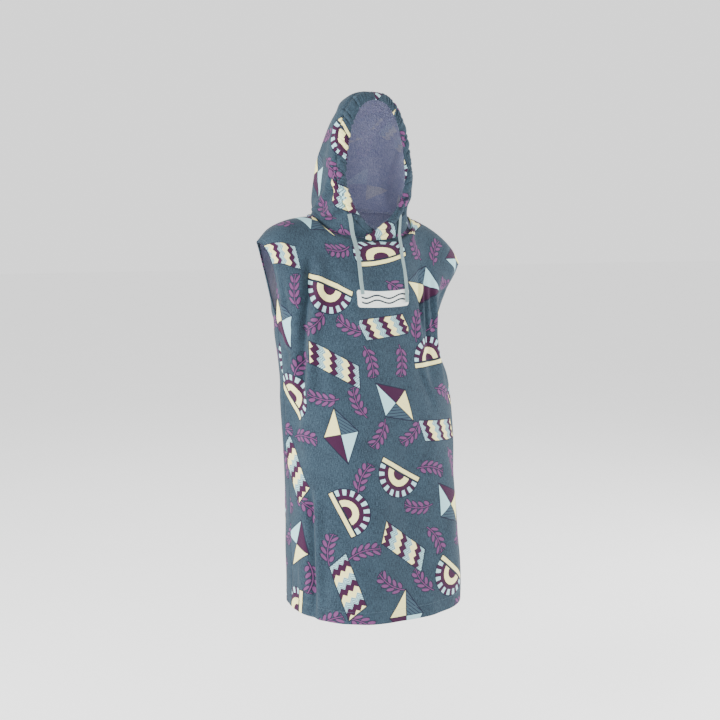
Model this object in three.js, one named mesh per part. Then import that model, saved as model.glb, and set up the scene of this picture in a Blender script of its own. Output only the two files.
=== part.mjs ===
// Hooded bath poncho in terry towelling, filled out as if worn, with no wearer.
// Millimetres, +Z up. The front faces -Y and the wearer's left side is at +X.
// The origin lies between the shoulders at the base of the neck, where the wearer holds the cloth up.
import * as THREE from "three";

// Cloth and seams
const CLOTH = 2.5;
const SEAM_GAP = 0.3;
const TURNED_CLOTH = 1.3;
const BOTTOM_HEM = 30;

// Heights of the body, from the neck down. The bottom edge rises a little to the sides.
const HEM_Z = -1003;
const HEM_SIDE_RISE = { right: 12, left: 20, above: 320 };
const UNDERARM_Z = -238;
const SEAM_TURN = 11;

// Neckline, an ellipse in plan that dips to the front: x half-width, y to the front and the back
const NECK = { halfWidth: 131, front: 108, back: 80, frontZ: -36, sideZ: 27, napeZ: 37 };
const NECK_SHARE = 0.38;

// Body below the armholes: a row for each level, half-width, depth to front and back, and shift of the middle
const BODY_LEVELS = [
  { z: -238, halfWidth: 235, front: 150, back: 120, shiftX: 0, shiftY: 0 },
  { z: -340, halfWidth: 229, front: 153, back: 130, shiftX: 5, shiftY: -5 },
  { z: -480, halfWidth: 232, front: 162, back: 148, shiftX: 17, shiftY: -16 },
  { z: -700, halfWidth: 237, front: 176, back: 166, shiftX: 23, shiftY: -32 },
  { z: -900, halfWidth: 238, front: 188, back: 182, shiftX: 24, shiftY: -44 },
  { z: -1003, halfWidth: 238, front: 193, back: 190, shiftX: 23, shiftY: -48 },
];
const BODY_SQUARENESS = 2.25;

// Shoulder seams, from the neck out to the tip: the wearer's left side hangs lower
const RIGHT_SHOULDER = [
  { x: 131, z: 27 },
  { x: 165, z: 24 },
  { x: 208, z: 14 },
  { x: 252, z: -8 },
  { x: 285, z: -42 },
];
const LEFT_SHOULDER = [
  { x: 131, z: 27 },
  { x: 172, z: 12 },
  { x: 220, z: -17 },
  { x: 268, z: -60 },
  { x: 299, z: -100 },
];
const ARMHOLE_OPEN = { front: 44, back: 34, aside: 8, from: 0.45, fullness: 0.8 };

// Folds of the body. at: -1 and 1 are the side seams, 0 the middle of the front, 2 the middle of the back.
// drift: how far it has moved round at its foot. A ridge has a trough beside it, on the side that is given.
const FOLDS = {
  rightFront: { at: -0.66, drift: -0.06, top: -60, foot: -470, ridge: 13, trough: 20, width: 24, side: -1 },
  rightFrontHem: { at: -0.67, drift: 0, top: -780, foot: -1090, ridge: 8, trough: 11, width: 24, side: -1 },
  rightOfChest: { at: -0.26, drift: 0.05, top: -70, foot: -330, ridge: 6, trough: 5, width: 36, side: 1 },
  leftUnderarm: { at: 0.8, drift: -0.02, top: -120, foot: -410, ridge: -20, trough: 0, width: 62, side: 1 },
  leftArmhole: { at: 0.6, drift: -0.08, top: -100, foot: -470, ridge: 6, trough: 9, width: 22, side: -1 },
  leftChest: { at: 0.5, drift: 0.04, top: -70, foot: -300, ridge: 5, trough: 7, width: 30, side: -1 },
  leftSkirt: { at: 0.45, drift: 0.06, top: -520, foot: -1160, ridge: 8, trough: 6, width: 55, side: 1 },
  frontSkirt: { at: -0.2, drift: -0.05, top: -480, foot: -1160, ridge: 7, trough: 6, width: 60, side: 1 },
  rightSide: { at: -1.06, drift: 0.04, top: -380, foot: -700, ridge: 6, trough: 6, width: 34, side: 1 },
  backRight: { at: -1.42, drift: -0.04, top: -60, foot: -560, ridge: 12, trough: 15, width: 32, side: 1 },
  backSkirt: { at: -1.62, drift: 0.05, top: -430, foot: -1160, ridge: 10, trough: 8, width: 52, side: -1 },
  backLeft: { at: 1.45, drift: 0.05, top: -80, foot: -520, ridge: 11, trough: 13, width: 32, side: -1 },
  backLeftSkirt: { at: 1.64, drift: -0.06, top: -500, foot: -1160, ridge: 9, trough: 9, width: 50, side: 1 },
  backMiddle: { at: 2, drift: 0.04, top: -130, foot: -800, ridge: 7, trough: 7, width: 60, side: 1 },
  leftSide: { at: 1.08, drift: -0.05, top: -420, foot: -1100, ridge: 7, trough: 7, width: 44, side: -1 },
};
const FOLD_FADE = { grown: 0.22, waning: 0.62 };
const FLAT_HALF_WIDTH = 335;

// Hood, as hoops from the face opening (share 0) back to the nape (share 1). Each rises from the neckline.
// topY and topZ follow the middle seam, widest is the half-width, rise is how far up the widest place is,
// lower and upper are how round the hoop is below and above it, slant is how straight it leaves the neckline.
const HOOPS = [
  { share: 0, topY: -97, topZ: 316, widest: 85, rise: 0.44, lower: 1.3, upper: 0.84, slant: 0.35 },
  { share: 0.08, topY: -74, topZ: 334, widest: 104, rise: 0.43, lower: 1.2, upper: 0.72, slant: 0.4 },
  { share: 0.2, topY: -42, topZ: 335, widest: 113, rise: 0.42, lower: 1.1, upper: 0.68, slant: 0.5 },
  { share: 0.35, topY: -2, topZ: 319, widest: 113, rise: 0.4, lower: 1, upper: 0.76, slant: 0.6 },
  { share: 0.5, topY: 38, topZ: 290, widest: 110, rise: 0.38, lower: 1, upper: 0.82, slant: 0.7 },
  { share: 0.65, topY: 74, topZ: 240, widest: 109, rise: 0.34, lower: 1, upper: 0.84, slant: 0.8 },
  { share: 0.8, topY: 96, topZ: 168, widest: 110, rise: 0.28, lower: 1, upper: 0.9, slant: 0.9 },
  { share: 0.91, topY: 98, topZ: 96, widest: 108, rise: 0.2, lower: 1, upper: 0.95, slant: 1 },
  { share: 1, topY: 80, topZ: 37, widest: 92, rise: 0, lower: 1, upper: 1, slant: 1 },
];
const HOOD_LAST_FOOT = 141.9;
const HOOP_LOWER_PART = 0.4;

// Lapped front corners of the hood: how far they pass the middle and stand off, and where that fades away
const LAP = { past: 30, clear: 5.4, lift: 0.45, x: [34, 82], z: [30, 90], y: [-60, -20] };

// Drawcord channel round the face opening: share of the hoops that it covers, and its padded thickness
const CHANNEL = { share: 0.08, seamShare: 0.0026, edge: 1.2, puff: 1.8, fullness: 0.7 };
const GATHERS = { count: 28, depth: 0.75 };

// Grids: how many cells each wall has
const BODY_GRID = { front: 32, back: 24, skirt: 15, chest: 11 };
const HOOD_GRID = { around: 11, along: 28 };
const CHANNEL_GRID = { across: 3, along: 84 };

// Drawcords, flat braid: the points of each route are chosen by hand, from the channel down the chest.
// lean: how far the cord comes forward for each millimetre across its width, so that it lies on the cloth
const CORD = { width: 12, thickness: 2.6, corners: 8, roundness: 0.6, steps: 26 };
const CORD_RIGHT = [
  { x: -75, y: -103.6, z: 28, lean: -0.38 },
  { x: -71.5, y: -103.4, z: 14.5, lean: -0.36 },
  { x: -68.7, y: -101.9, z: 0.9, lean: -0.42 },
  { x: -66.6, y: -101.2, z: -12.8, lean: -0.42 },
  { x: -65.6, y: -105.4, z: -26.2, lean: -0.36 },
  { x: -64.9, y: -112.6, z: -39.1, lean: -0.26 },
  { x: -64.4, y: -120, z: -51.3, lean: -0.24 },
  { x: -63.8, y: -126.2, z: -63.8, lean: -0.23 },
  { x: -63.1, y: -130.3, z: -77, lean: -0.2 },
  { x: -62.4, y: -134.4, z: -90.3, lean: -0.16 },
  { x: -62.2, y: -137.9, z: -103.8, lean: -0.09 },
  { x: -62.2, y: -141, z: -117.3, lean: -0.02 },
  { x: -62.3, y: -144, z: -130.9, lean: 0.03 },
  { x: -61.7, y: -146.6, z: -144.6, lean: 0.05 },
  { x: -60.5, y: -148.7, z: -158.3, lean: 0.07 },
  { x: -59, y: -150.4, z: -172, lean: 0.08 },
];
const CORD_LEFT = [
  { x: 66, y: -110.4, z: 28, lean: 0.44 },
  { x: 66.5, y: -107.9, z: 12.5, lean: 0.46 },
  { x: 66.4, y: -106.4, z: -2.8, lean: 0.5 },
  { x: 65.8, y: -105.2, z: -18.1, lean: 0.46 },
  { x: 64.7, y: -109.6, z: -32.3, lean: 0.36 },
  { x: 63.5, y: -116.8, z: -45.9, lean: 0.3 },
  { x: 62.2, y: -124.5, z: -59.3, lean: 0.28 },
  { x: 60.6, y: -129.8, z: -73.7, lean: 0.25 },
  { x: 61.4, y: -133.8, z: -88.7, lean: 0.21 },
  { x: 62.7, y: -137.1, z: -103.8, lean: 0.2 },
  { x: 64.1, y: -139.8, z: -119, lean: 0.21 },
  { x: 65.5, y: -142.1, z: -134.3, lean: 0.22 },
  { x: 66.3, y: -144.1, z: -149.7, lean: 0.24 },
  { x: 66.9, y: -145.8, z: -165.1, lean: 0.22 },
  { x: 67.3, y: -147.1, z: -180.5, lean: 0.19 },
  { x: 67.5, y: -148.2, z: -196, lean: 0.18 },
];

const COLOURS = { towelling: 0x5b7383, cord: 0x8fa69d };

// Ease from 0 to 1 as a value goes from low to high.
function ease(value, low, high) {
  return THREE.MathUtils.smoothstep(value, low, high);
}

// A column of a table at a place between its rows, as one smooth curve.
function columnAt(rows, by, name, place) {
  const rising = rows[rows.length - 1][by] > rows[0][by];
  const passed = rows.filter((row) => (rising ? row[by] <= place : row[by] >= place)).length;
  const i = THREE.MathUtils.clamp(passed - 1, 0, rows.length - 2);
  const rowAt = (k) => rows[THREE.MathUtils.clamp(k, 0, rows.length - 1)];
  const [before, here, next, after] = [rowAt(i - 1), rowAt(i), rowAt(i + 1), rowAt(i + 2)];
  const span = next[by] - here[by];
  const slopeHere = ((next[name] - before[name]) / (next[by] - before[by])) * span;
  const slopeNext = ((after[name] - here[name]) / (after[by] - here[by])) * span;
  const t = THREE.MathUtils.clamp((place - here[by]) / span, 0, 1);
  const turn = 1 - t;
  return (
    here[name] * (1 + 2 * t) * turn * turn +
    next[name] * (3 - 2 * t) * t * t +
    slopeHere * t * turn * turn -
    slopeNext * t * t * turn
  );
}

function signedPower(value, power) {
  return Math.sign(value) * Math.abs(value) ** power;
}

// Points at equal distances along a curve, which is a function of a share from 0 to 1.
function evenPoints(curve, count, samples = 160) {
  const fine = Array.from({ length: samples + 1 }, (_, k) => curve(k / samples));
  const reach = [0];
  for (let k = 1; k <= samples; k++) reach.push(reach[k - 1] + fine[k].distanceTo(fine[k - 1]));
  const points = [];
  let k = 1;
  for (let n = 0; n <= count; n++) {
    const want = (reach[samples] * n) / count;
    while (k < samples && reach[k] < want) k++;
    const step = reach[k] - reach[k - 1];
    const t = step > 0 ? THREE.MathUtils.clamp((want - reach[k - 1]) / step, 0, 1) : 0;
    points.push(fine[k - 1].clone().lerp(fine[k], t));
  }
  return points;
}

// Neckline at an angle from the middle of the front (0) over the side (90 degrees) to the nape (180).
// A negative angle goes past the middle of the front. wearerSide is -1 for the right and 1 for the left.
function neckline(angle, wearerSide) {
  const forward = Math.cos(angle);
  const reach = forward > 0 ? NECK.front : NECK.back;
  const z = NECK.sideZ + Math.abs(forward) * ((forward > 0 ? NECK.frontZ : NECK.napeZ) - NECK.sideZ);
  return new THREE.Vector3(wearerSide * NECK.halfWidth * Math.sin(angle), -reach * forward, z);
}

// The front and the back of the neckline each lie in a plane: the plane's normal, pointing up.
function neckUp(isFront) {
  const run = isFront ? NECK.front : NECK.back;
  const drop = isFront ? NECK.sideZ - NECK.frontZ : NECK.sideZ - NECK.napeZ;
  return new THREE.Vector3(0, isFront ? -drop : drop, run).normalize();
}

// In the neckline's plane, the direction that points away from the neck.
function neckOut(angle, wearerSide, isFront) {
  const step = 0.01;
  const along = neckline(angle + step, wearerSide).sub(neckline(angle - step, wearerSide));
  if (Math.abs(angle - Math.PI / 2) < 2 * step) return new THREE.Vector3(wearerSide, 0, 0);
  return along.cross(neckUp(isFront)).normalize().multiplyScalar(wearerSide);
}

// One half of the body's outline at a height, from the right side seam to the left one.
function levelCurve(z, isFront) {
  const level = (name) => columnAt(BODY_LEVELS, "z", name, z);
  const depth = isFront ? -level("front") : level("back");
  const [halfWidth, shiftX, shiftY] = [level("halfWidth"), level("shiftX"), level("shiftY")];
  return (share) => {
    const angle = (share - 0.5) * Math.PI;
    const x = halfWidth * signedPower(Math.sin(angle), 2 / BODY_SQUARENESS);
    const y = depth * Math.max(0, Math.cos(angle)) ** (2 / BODY_SQUARENESS);
    return new THREE.Vector3(shiftX + x, shiftY + y, z);
  };
}

// The top edge of a panel: the neckline in the middle, then the shoulder seam. across goes from -1 to 1.
function topEdge(across, isFront) {
  const wearerSide = across < 0 ? -1 : 1;
  const share = Math.abs(across);
  if (share <= NECK_SHARE) {
    const angle = ((share / NECK_SHARE) * Math.PI) / 2;
    const turn = isFront ? angle : Math.PI - angle;
    const away = neckOut(turn, wearerSide, isFront).multiplyScalar(SEAM_TURN);
    const below = neckUp(isFront).multiplyScalar(-SEAM_TURN / 2);
    return neckline(turn, wearerSide).add(away).add(below);
  }
  const seam = wearerSide < 0 ? RIGHT_SHOULDER : LEFT_SHOULDER;
  const start = seam[0].x + SEAM_TURN;
  const out = (share - NECK_SHARE) / (1 - NECK_SHARE);
  const x = THREE.MathUtils.lerp(start, seam[seam.length - 1].x, out);
  const fall = (1 - out) * (SEAM_TURN / 2);
  return new THREE.Vector3(wearerSide * x, 0, columnAt(seam, "x", "z", x) - fall);
}

// Height of the folds over the smooth cloth, at a place round the body.
function foldHeight(around, z) {
  let height = 0;
  for (const fold of Object.values(FOLDS)) {
    const down = (fold.top - z) / (fold.top - fold.foot);
    if (down <= 0 || down >= 1) continue;
    let gap = around - fold.at - fold.drift * down;
    gap -= 4 * Math.round(gap / 4);
    const x = (gap * FLAT_HALF_WIDTH) / fold.width;
    const fade = ease(down, 0, FOLD_FADE.grown) * (1 - ease(down, FOLD_FADE.waning, 1));
    const ridge = fold.ridge * Math.exp(-x * x);
    const trough = fold.trough * Math.exp(-((x - 1.5 * fold.side) ** 2));
    height += fade * (ridge - trough);
  }
  return height;
}

// Directions square to a grid of points, from each point's neighbours.
function gridNormals(points) {
  const last = { row: points.length - 1, column: points[0].length - 1 };
  return points.map((row, i) =>
    row.map((_, j) => {
      const [left, right] = [row[Math.max(j - 1, 0)], row[Math.min(j + 1, last.column)]];
      const [lower, upper] = [points[Math.max(i - 1, 0)][j], points[Math.min(i + 1, last.row)][j]];
      return right.clone().sub(left).cross(upper.clone().sub(lower)).normalize();
    }),
  );
}

function pushOut(points, normals, height) {
  return points.map((row, i) =>
    row.map((point, j) => point.clone().addScaledVector(normals[i][j], height(i, j))),
  );
}

// A body panel as a smooth grid of points: rows go up from the hem, columns from the wearer's right to left.
function smoothPanel(isFront) {
  const columns = isFront ? BODY_GRID.front : BODY_GRID.back;
  const across = (j) => (2 * j) / columns - 1;
  const skirtRows = [HEM_Z, HEM_Z + BOTTOM_HEM / 2, HEM_Z + BOTTOM_HEM];
  for (let i = 1; i <= BODY_GRID.skirt; i++) {
    skirtRows.push(THREE.MathUtils.lerp(HEM_Z + BOTTOM_HEM, UNDERARM_Z, i / BODY_GRID.skirt));
  }
  const points = skirtRows.map((z) => {
    const row = evenPoints(levelCurve(z, isFront), columns);
    const near = 1 - ease(z, HEM_Z, HEM_Z + HEM_SIDE_RISE.above);
    row.forEach((point, j) => {
      point.z += near * across(j) ** 2 * (across(j) < 0 ? HEM_SIDE_RISE.right : HEM_SIDE_RISE.left);
    });
    return row;
  });
  const underarm = points[points.length - 1];
  for (let i = 1; i <= BODY_GRID.chest; i++) {
    const angle = (i / BODY_GRID.chest) * (Math.PI / 2);
    const open = Math.sin(2 * angle) ** ARMHOLE_OPEN.fullness;
    points.push(
      underarm.map((low, j) => {
        const top = topEdge(across(j), isFront);
        const point = top.clone().lerp(low, Math.cos(angle));
        point.z = THREE.MathUtils.lerp(low.z, top.z, Math.sin(angle));
        const toArmhole = open * ease(Math.abs(across(j)), ARMHOLE_OPEN.from, 1);
        point.y += toArmhole * (isFront ? -ARMHOLE_OPEN.front : ARMHOLE_OPEN.back);
        point.x += toArmhole * Math.sign(across(j)) * ARMHOLE_OPEN.aside;
        return point;
      }),
    );
  }
  return { points, across, isFront, facing: isFront ? 1 : -1 };
}

// The directions of two panels' walls, made the same where the side seams join them.
function panelNormals(front, back) {
  const [frontNormals, backNormals] = [front, back].map((panel) =>
    gridNormals(panel.points).map((row) => row.map((n) => n.multiplyScalar(panel.facing))),
  );
  for (let i = 0; i <= BODY_GRID.skirt + 2; i++) {
    for (const end of [0, -1]) {
      const pair = [frontNormals[i].at(end), backNormals[i].at(end)];
      const shared = pair[0].clone().add(pair[1]).normalize();
      pair.forEach((normal) => normal.copy(shared));
    }
  }
  return [frontNormals, backNormals];
}

// Raises a panel's folds, and adds the last row, where the cloth turns up to the neckline.
function foldPanel(panel, normals) {
  const { points, across, isFront } = panel;
  const topRow = points.length - 1;
  panel.points = pushOut(points, normals, (i, j) => {
    const round = isFront ? across(j) : Math.sign(across(j) || 1) * (2 - Math.abs(across(j)));
    return foldHeight(round, points[i][j].z) * (1 - ease(i, topRow - 5, topRow - 1));
  });
  panel.points.push(
    panel.points[topRow].map((point, j) => {
      const share = Math.abs(across(j));
      if (share > NECK_SHARE) return point.clone();
      const angle = ((share / NECK_SHARE) * Math.PI) / 2;
      return neckline(isFront ? angle : Math.PI - angle, across(j) < 0 ? -1 : 1);
    }),
  );
}

// A closed wall of cloth on a grid: outward and inward give how far each face lies from the points.
function clothWall(points, normals, outward, inward) {
  const rows = points.length;
  const columns = points[0].length;
  const position = [];
  const put = (i, j, distance) => {
    const v = points[i][j].clone().addScaledVector(normals[i][j], distance);
    position.push(v.x, v.y, v.z);
  };
  for (let i = 0; i < rows; i++) for (let j = 0; j < columns; j++) put(i, j, outward(i, j));
  for (let i = 0; i < rows; i++) for (let j = 0; j < columns; j++) put(i, j, -inward(i, j));
  const inner = rows * columns;
  const at = (i, j) => i * columns + j;
  const index = [];
  const quad = (a, b, c, d) => index.push(a, b, c, a, c, d);
  const edge = (a, b) => quad(a, b, inner + b, inner + a);
  for (let i = 0; i + 1 < rows; i++) {
    for (let j = 0; j + 1 < columns; j++) {
      const [a, b, c, d] = [at(i, j), at(i, j + 1), at(i + 1, j + 1), at(i + 1, j)];
      quad(a, b, c, d);
      quad(inner + a, inner + d, inner + c, inner + b);
    }
    edge(at(i, 0), at(i + 1, 0));
    edge(at(i + 1, columns - 1), at(i, columns - 1));
  }
  for (let j = 0; j + 1 < columns; j++) {
    edge(at(0, j + 1), at(0, j));
    edge(at(rows - 1, j), at(rows - 1, j + 1));
  }
  return facingOut(position, index);
}

// A closed tube through rings of points that all have the same count, with flat ends.
function closedTube(rings) {
  const count = rings[0].length;
  const position = rings.flat().flatMap((v) => [v.x, v.y, v.z]);
  const index = [];
  for (let i = 0; i + 1 < rings.length; i++) {
    for (let j = 0; j < count; j++) {
      const [a, b] = [i * count + j, i * count + ((j + 1) % count)];
      index.push(a, b, b + count, a, b + count, a + count);
    }
  }
  const lastRing = (rings.length - 1) * count;
  for (let j = 1; j + 1 < count; j++) {
    index.push(0, j + 1, j);
    index.push(lastRing, lastRing + j, lastRing + j + 1);
  }
  return facingOut(position, index);
}

// A geometry from positions and triangles, turned so that its faces point out of the solid.
function facingOut(position, index) {
  const corner = (k) => new THREE.Vector3().fromArray(position, 3 * index[k]);
  let volume = 0;
  for (let k = 0; k < index.length; k += 3) volume += corner(k).dot(corner(k + 1).cross(corner(k + 2)));
  if (volume < 0) index.reverse();
  const geometry = new THREE.BufferGeometry();
  geometry.setAttribute("position", new THREE.Float32BufferAttribute(position, 3));
  geometry.setIndex(index);
  geometry.computeVertexNormals();
  return geometry;
}

// The front and back panels as walls of cloth, with their hems turned in.
function bodyPanels() {
  const panels = [smoothPanel(true), smoothPanel(false)];
  const smooth = panelNormals(...panels);
  panels.forEach((panel, k) => foldPanel(panel, smooth[k]));
  const folded = panelNormals(...panels);
  return panels.map((panel, k) => {
    const { points, across, isFront } = panel;
    const normals = folded[k];
    const topRow = points.length - 1;
    const columns = points[0].length;
    for (let j = 0; j < columns; j++) {
      if (Math.abs(across(j)) > NECK_SHARE) {
        const seam = topEdge(across(j) + 0.01, isFront).sub(topEdge(across(j) - 0.01, isFront));
        normals[topRow][j].set(-seam.z, 0, seam.x).normalize();
        normals[topRow - 1][j].copy(normals[topRow][j]);
      } else {
        const angle = ((Math.abs(across(j)) / NECK_SHARE) * Math.PI) / 2;
        const turn = isFront ? angle : Math.PI - angle;
        normals[topRow][j].copy(neckOut(turn, across(j) < 0 ? -1 : 1, isFront));
        points[topRow][j].addScaledVector(neckUp(isFront), -SEAM_GAP / 2);
      }
    }
    for (const point of points.flat()) point.y -= (panel.facing * SEAM_GAP) / 2;
    const skirtTop = BODY_GRID.skirt + 2;
    const inHem = (i, j) => i < 2 || (i > skirtTop && i < topRow - 1 && (j === 0 || j === columns - 1));
    const inward = (i, j) => CLOTH / 2 + (inHem(i, j) ? TURNED_CLOTH : 0);
    const name = isFront ? "front_panel" : "back_panel";
    return clothMesh(name, clothWall(points, normals, () => CLOTH / 2, inward), COLOURS.towelling);
  });
}

// Angle of a hoop's foot along the neckline: the first feet lie past the middle of the front.
function footAngle(share) {
  const first = -Math.asin(LAP.past / NECK.halfWidth);
  const last = THREE.MathUtils.degToRad(HOOD_LAST_FOOT);
  return THREE.MathUtils.lerp(first, last, share);
}

// A hoop of the hood on one side, from its foot on the neckline up to the middle seam.
function hoop(share, wearerSide) {
  const row = (name) => columnAt(HOOPS, "share", name, share);
  const foot = neckline(footAngle(share), 1);
  const top = new THREE.Vector3(0, row("topY"), row("topZ"));
  const [widest, rise, lower, upper, slant] = ["widest", "rise", "lower", "upper", "slant"].map(row);
  const middle = foot.clone().lerp(top, Math.max(0, rise));
  return (t) => {
    const point = new THREE.Vector3();
    if (share === 1) {
      point.copy(neckline(THREE.MathUtils.lerp(footAngle(1), Math.PI, t), 1));
    } else if (t < HOOP_LOWER_PART) {
      const turn = (t / HOOP_LOWER_PART) * (Math.PI / 2);
      point.lerpVectors(foot, middle, THREE.MathUtils.lerp(1 - Math.cos(turn), t / HOOP_LOWER_PART, slant));
      point.x = foot.x + (widest - foot.x) * Math.sin(turn) ** lower;
    } else {
      const turn = ((t - HOOP_LOWER_PART) / (1 - HOOP_LOWER_PART)) * (Math.PI / 2);
      point.lerpVectors(middle, top, Math.sin(turn));
      point.x = widest * Math.max(0, Math.cos(turn)) ** upper;
    }
    point.x *= wearerSide;
    return point;
  };
}

// How far the lapped front corner of a hood panel stands off: the wearer's left laps over the right.
function lapHeight(point, wearerSide) {
  const near = 1 - ease(point.x * wearerSide, ...LAP.x);
  const low = 1 - ease(point.z, ...LAP.z);
  const toFront = 1 - ease(point.y, ...LAP.y);
  return wearerSide * LAP.clear * near * low * toFront;
}

// One half of the hood as a grid of points, hoops from the face opening back, with the walls' directions.
// The channel's hoops come first and end just before the hoop where the panel itself begins.
function hoodHalf(wearerSide) {
  const channelShares = [];
  for (let i = 0; i <= CHANNEL_GRID.across; i++) {
    channelShares.push(((CHANNEL.share - CHANNEL.seamShare) * i) / CHANNEL_GRID.across);
  }
  const panelShares = [];
  for (let i = 0; i <= HOOD_GRID.around; i++) {
    panelShares.push(THREE.MathUtils.lerp(CHANNEL.share, 1, i / HOOD_GRID.around));
  }
  const shares = [...channelShares, ...panelShares];
  const points = shares.map((share) => evenPoints(hoop(share, wearerSide), CHANNEL_GRID.along));
  const normals = gridNormals(points).map((row) => row.map((n) => n.multiplyScalar(-wearerSide)));
  const seam = channelShares.length;
  normals[seam - 1] = normals[seam].map((n) => n.clone());
  const end = CHANNEL_GRID.along;
  shares.forEach((share, i) => {
    const angle = footAngle(share);
    normals[i][0].copy(neckOut(angle, wearerSide, angle <= Math.PI / 2));
    normals[i][end].setX(0).normalize();
  });
  points[shares.length - 1].forEach((point, j) => {
    const angle = THREE.MathUtils.lerp(footAngle(1), Math.PI, j / end);
    normals[shares.length - 1][j].copy(neckOut(angle, wearerSide, false));
  });
  const lap = (i, j) => lapHeight(points[i][j], wearerSide);
  const moved = pushOut(points, normals, lap);
  moved.forEach((row, i) => {
    row.forEach((point, j) => point.addScaledVector(neckUp(true), Math.max(0, lap(i, j)) * LAP.lift));
    row[0].addScaledVector(neckUp(footAngle(shares[i]) <= Math.PI / 2), SEAM_GAP / 2);
    for (const point of row) point.x += (wearerSide * SEAM_GAP) / 2;
  });
  for (const point of moved[shares.length - 1].slice(1)) point.addScaledVector(neckUp(false), SEAM_GAP / 2);
  return { points: moved, normals, seam };
}

// One hood panel, behind the drawcord channel.
function hoodPanel(name, half) {
  const stride = CHANNEL_GRID.along / HOOD_GRID.along;
  const thin = (grid) => grid.slice(half.seam).map((row) => row.filter((_, j) => j % stride === 0));
  const reach = () => CLOTH / 2;
  return clothMesh(name, clothWall(thin(half.points), thin(half.normals), reach, reach), COLOURS.towelling);
}

// The drawcord channel on one hood panel: the panel's front edge turned over, gathered on its cord.
function channel(name, half) {
  const stride = CHANNEL_GRID.along / HOOD_GRID.along;
  const rings = [];
  for (let j = 0; j <= CHANNEL_GRID.along; j++) {
    const along = j / CHANNEL_GRID.along;
    const gather = Math.sin(along * GATHERS.count * 2 * Math.PI);
    const calm = Math.min(1, 8 * along, 8 * (1 - along));
    const outer = [];
    const inside = [];
    for (let i = 0; i <= CHANNEL_GRID.across; i++) {
      const puff = Math.sin((Math.PI * i) / CHANNEL_GRID.across) ** CHANNEL.fullness;
      const thick = CHANNEL.edge + puff * (CHANNEL.puff + GATHERS.depth * gather * calm);
      outer.push(half.points[i][j].clone().addScaledVector(half.normals[i][j], thick));
      inside.push(half.points[i][j].clone().addScaledVector(half.normals[i][j], -Math.min(thick, CLOTH)));
    }
    rings.push([...outer, ...inside.reverse()]);
  }
  // The edge that meets the panel is as straight between the panel's own points as the panel is.
  for (const corner of [CHANNEL_GRID.across, CHANNEL_GRID.across + 1]) {
    for (let j = 0; j < CHANNEL_GRID.along; j += stride) {
      for (let k = 1; k < stride; k++) {
        rings[j + k][corner].lerpVectors(rings[j][corner], rings[j + stride][corner], k / stride);
      }
    }
  }
  return clothMesh(name, closedTube(rings), COLOURS.towelling);
}

// A flat braided cord along its route.
function cord(name, route) {
  const path = new THREE.CatmullRomCurve3(route.map(({ x, y, z }) => new THREE.Vector3(x, y, z)));
  const leans = new THREE.CatmullRomCurve3(route.map(({ lean }, k) => new THREE.Vector3(lean, k, 0)));
  const rings = [];
  for (let k = 0; k <= CORD.steps; k++) {
    const along = path.getTangent(k / CORD.steps);
    const side = new THREE.Vector3(1, leans.getPoint(k / CORD.steps).x, 0);
    side.addScaledVector(along, -side.dot(along)).normalize();
    const face = along.clone().cross(side);
    const ring = [];
    for (let n = 0; n < CORD.corners; n++) {
      const angle = ((n + 0.5) / CORD.corners) * 2 * Math.PI;
      const x = (CORD.width / 2) * signedPower(Math.cos(angle), CORD.roundness);
      const y = (CORD.thickness / 2) * signedPower(Math.sin(angle), CORD.roundness);
      ring.push(path.getPoint(k / CORD.steps).addScaledVector(side, x).addScaledVector(face, y));
    }
    rings.push(ring);
  }
  return clothMesh(name, closedTube(rings), COLOURS.cord);
}

function clothMesh(name, geometry, color) {
  const mesh = new THREE.Mesh(geometry, new THREE.MeshStandardMaterial({ color, roughness: 0.95 }));
  mesh.name = name;
  return mesh;
}

const poncho = new THREE.Group();
poncho.name = "hooded_bath_poncho";
poncho.add(...bodyPanels());
for (const [side, wearerSide] of [["right", -1], ["left", 1]]) {
  const half = hoodHalf(wearerSide);
  poncho.add(hoodPanel("hood_" + side, half));
  poncho.add(channel("hood_channel_" + side, half));
}
poncho.add(cord("drawcord_right", CORD_RIGHT));
poncho.add(cord("drawcord_left", CORD_LEFT));

export default poncho;
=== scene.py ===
# %% [markdown]
# # A hooded bath poncho in terry towelling
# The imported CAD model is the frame: it gives the size and the place of every piece, in metres, with +Z up.
# The front faces -Y and the wearer's left side is at +X. Each plain cloth solid is replaced here by a finer
# shell on the same form, with its print, its nap, its seams and its smaller folds.

# %% The frame
import math
import bpy
import bmesh
import numpy as np
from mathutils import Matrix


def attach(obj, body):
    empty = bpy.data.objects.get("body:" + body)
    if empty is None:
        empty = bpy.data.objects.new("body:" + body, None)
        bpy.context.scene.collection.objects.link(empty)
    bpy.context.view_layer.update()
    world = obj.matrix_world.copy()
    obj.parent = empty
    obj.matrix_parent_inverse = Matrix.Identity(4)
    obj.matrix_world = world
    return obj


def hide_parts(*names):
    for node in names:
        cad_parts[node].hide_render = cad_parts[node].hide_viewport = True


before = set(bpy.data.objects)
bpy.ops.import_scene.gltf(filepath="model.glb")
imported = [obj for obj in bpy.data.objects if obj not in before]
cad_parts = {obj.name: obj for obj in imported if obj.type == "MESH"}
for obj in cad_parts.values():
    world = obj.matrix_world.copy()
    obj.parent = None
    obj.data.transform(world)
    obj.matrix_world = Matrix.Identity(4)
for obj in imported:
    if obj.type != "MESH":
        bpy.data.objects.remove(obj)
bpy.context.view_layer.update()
MM = 0.001

# %% [markdown]
# The camera comes first, since it decides what shows. It stands three metres away, a little to the wearer's
# right, and looks slightly down, so that the hood's opening and the right armhole both show their insides.

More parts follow.
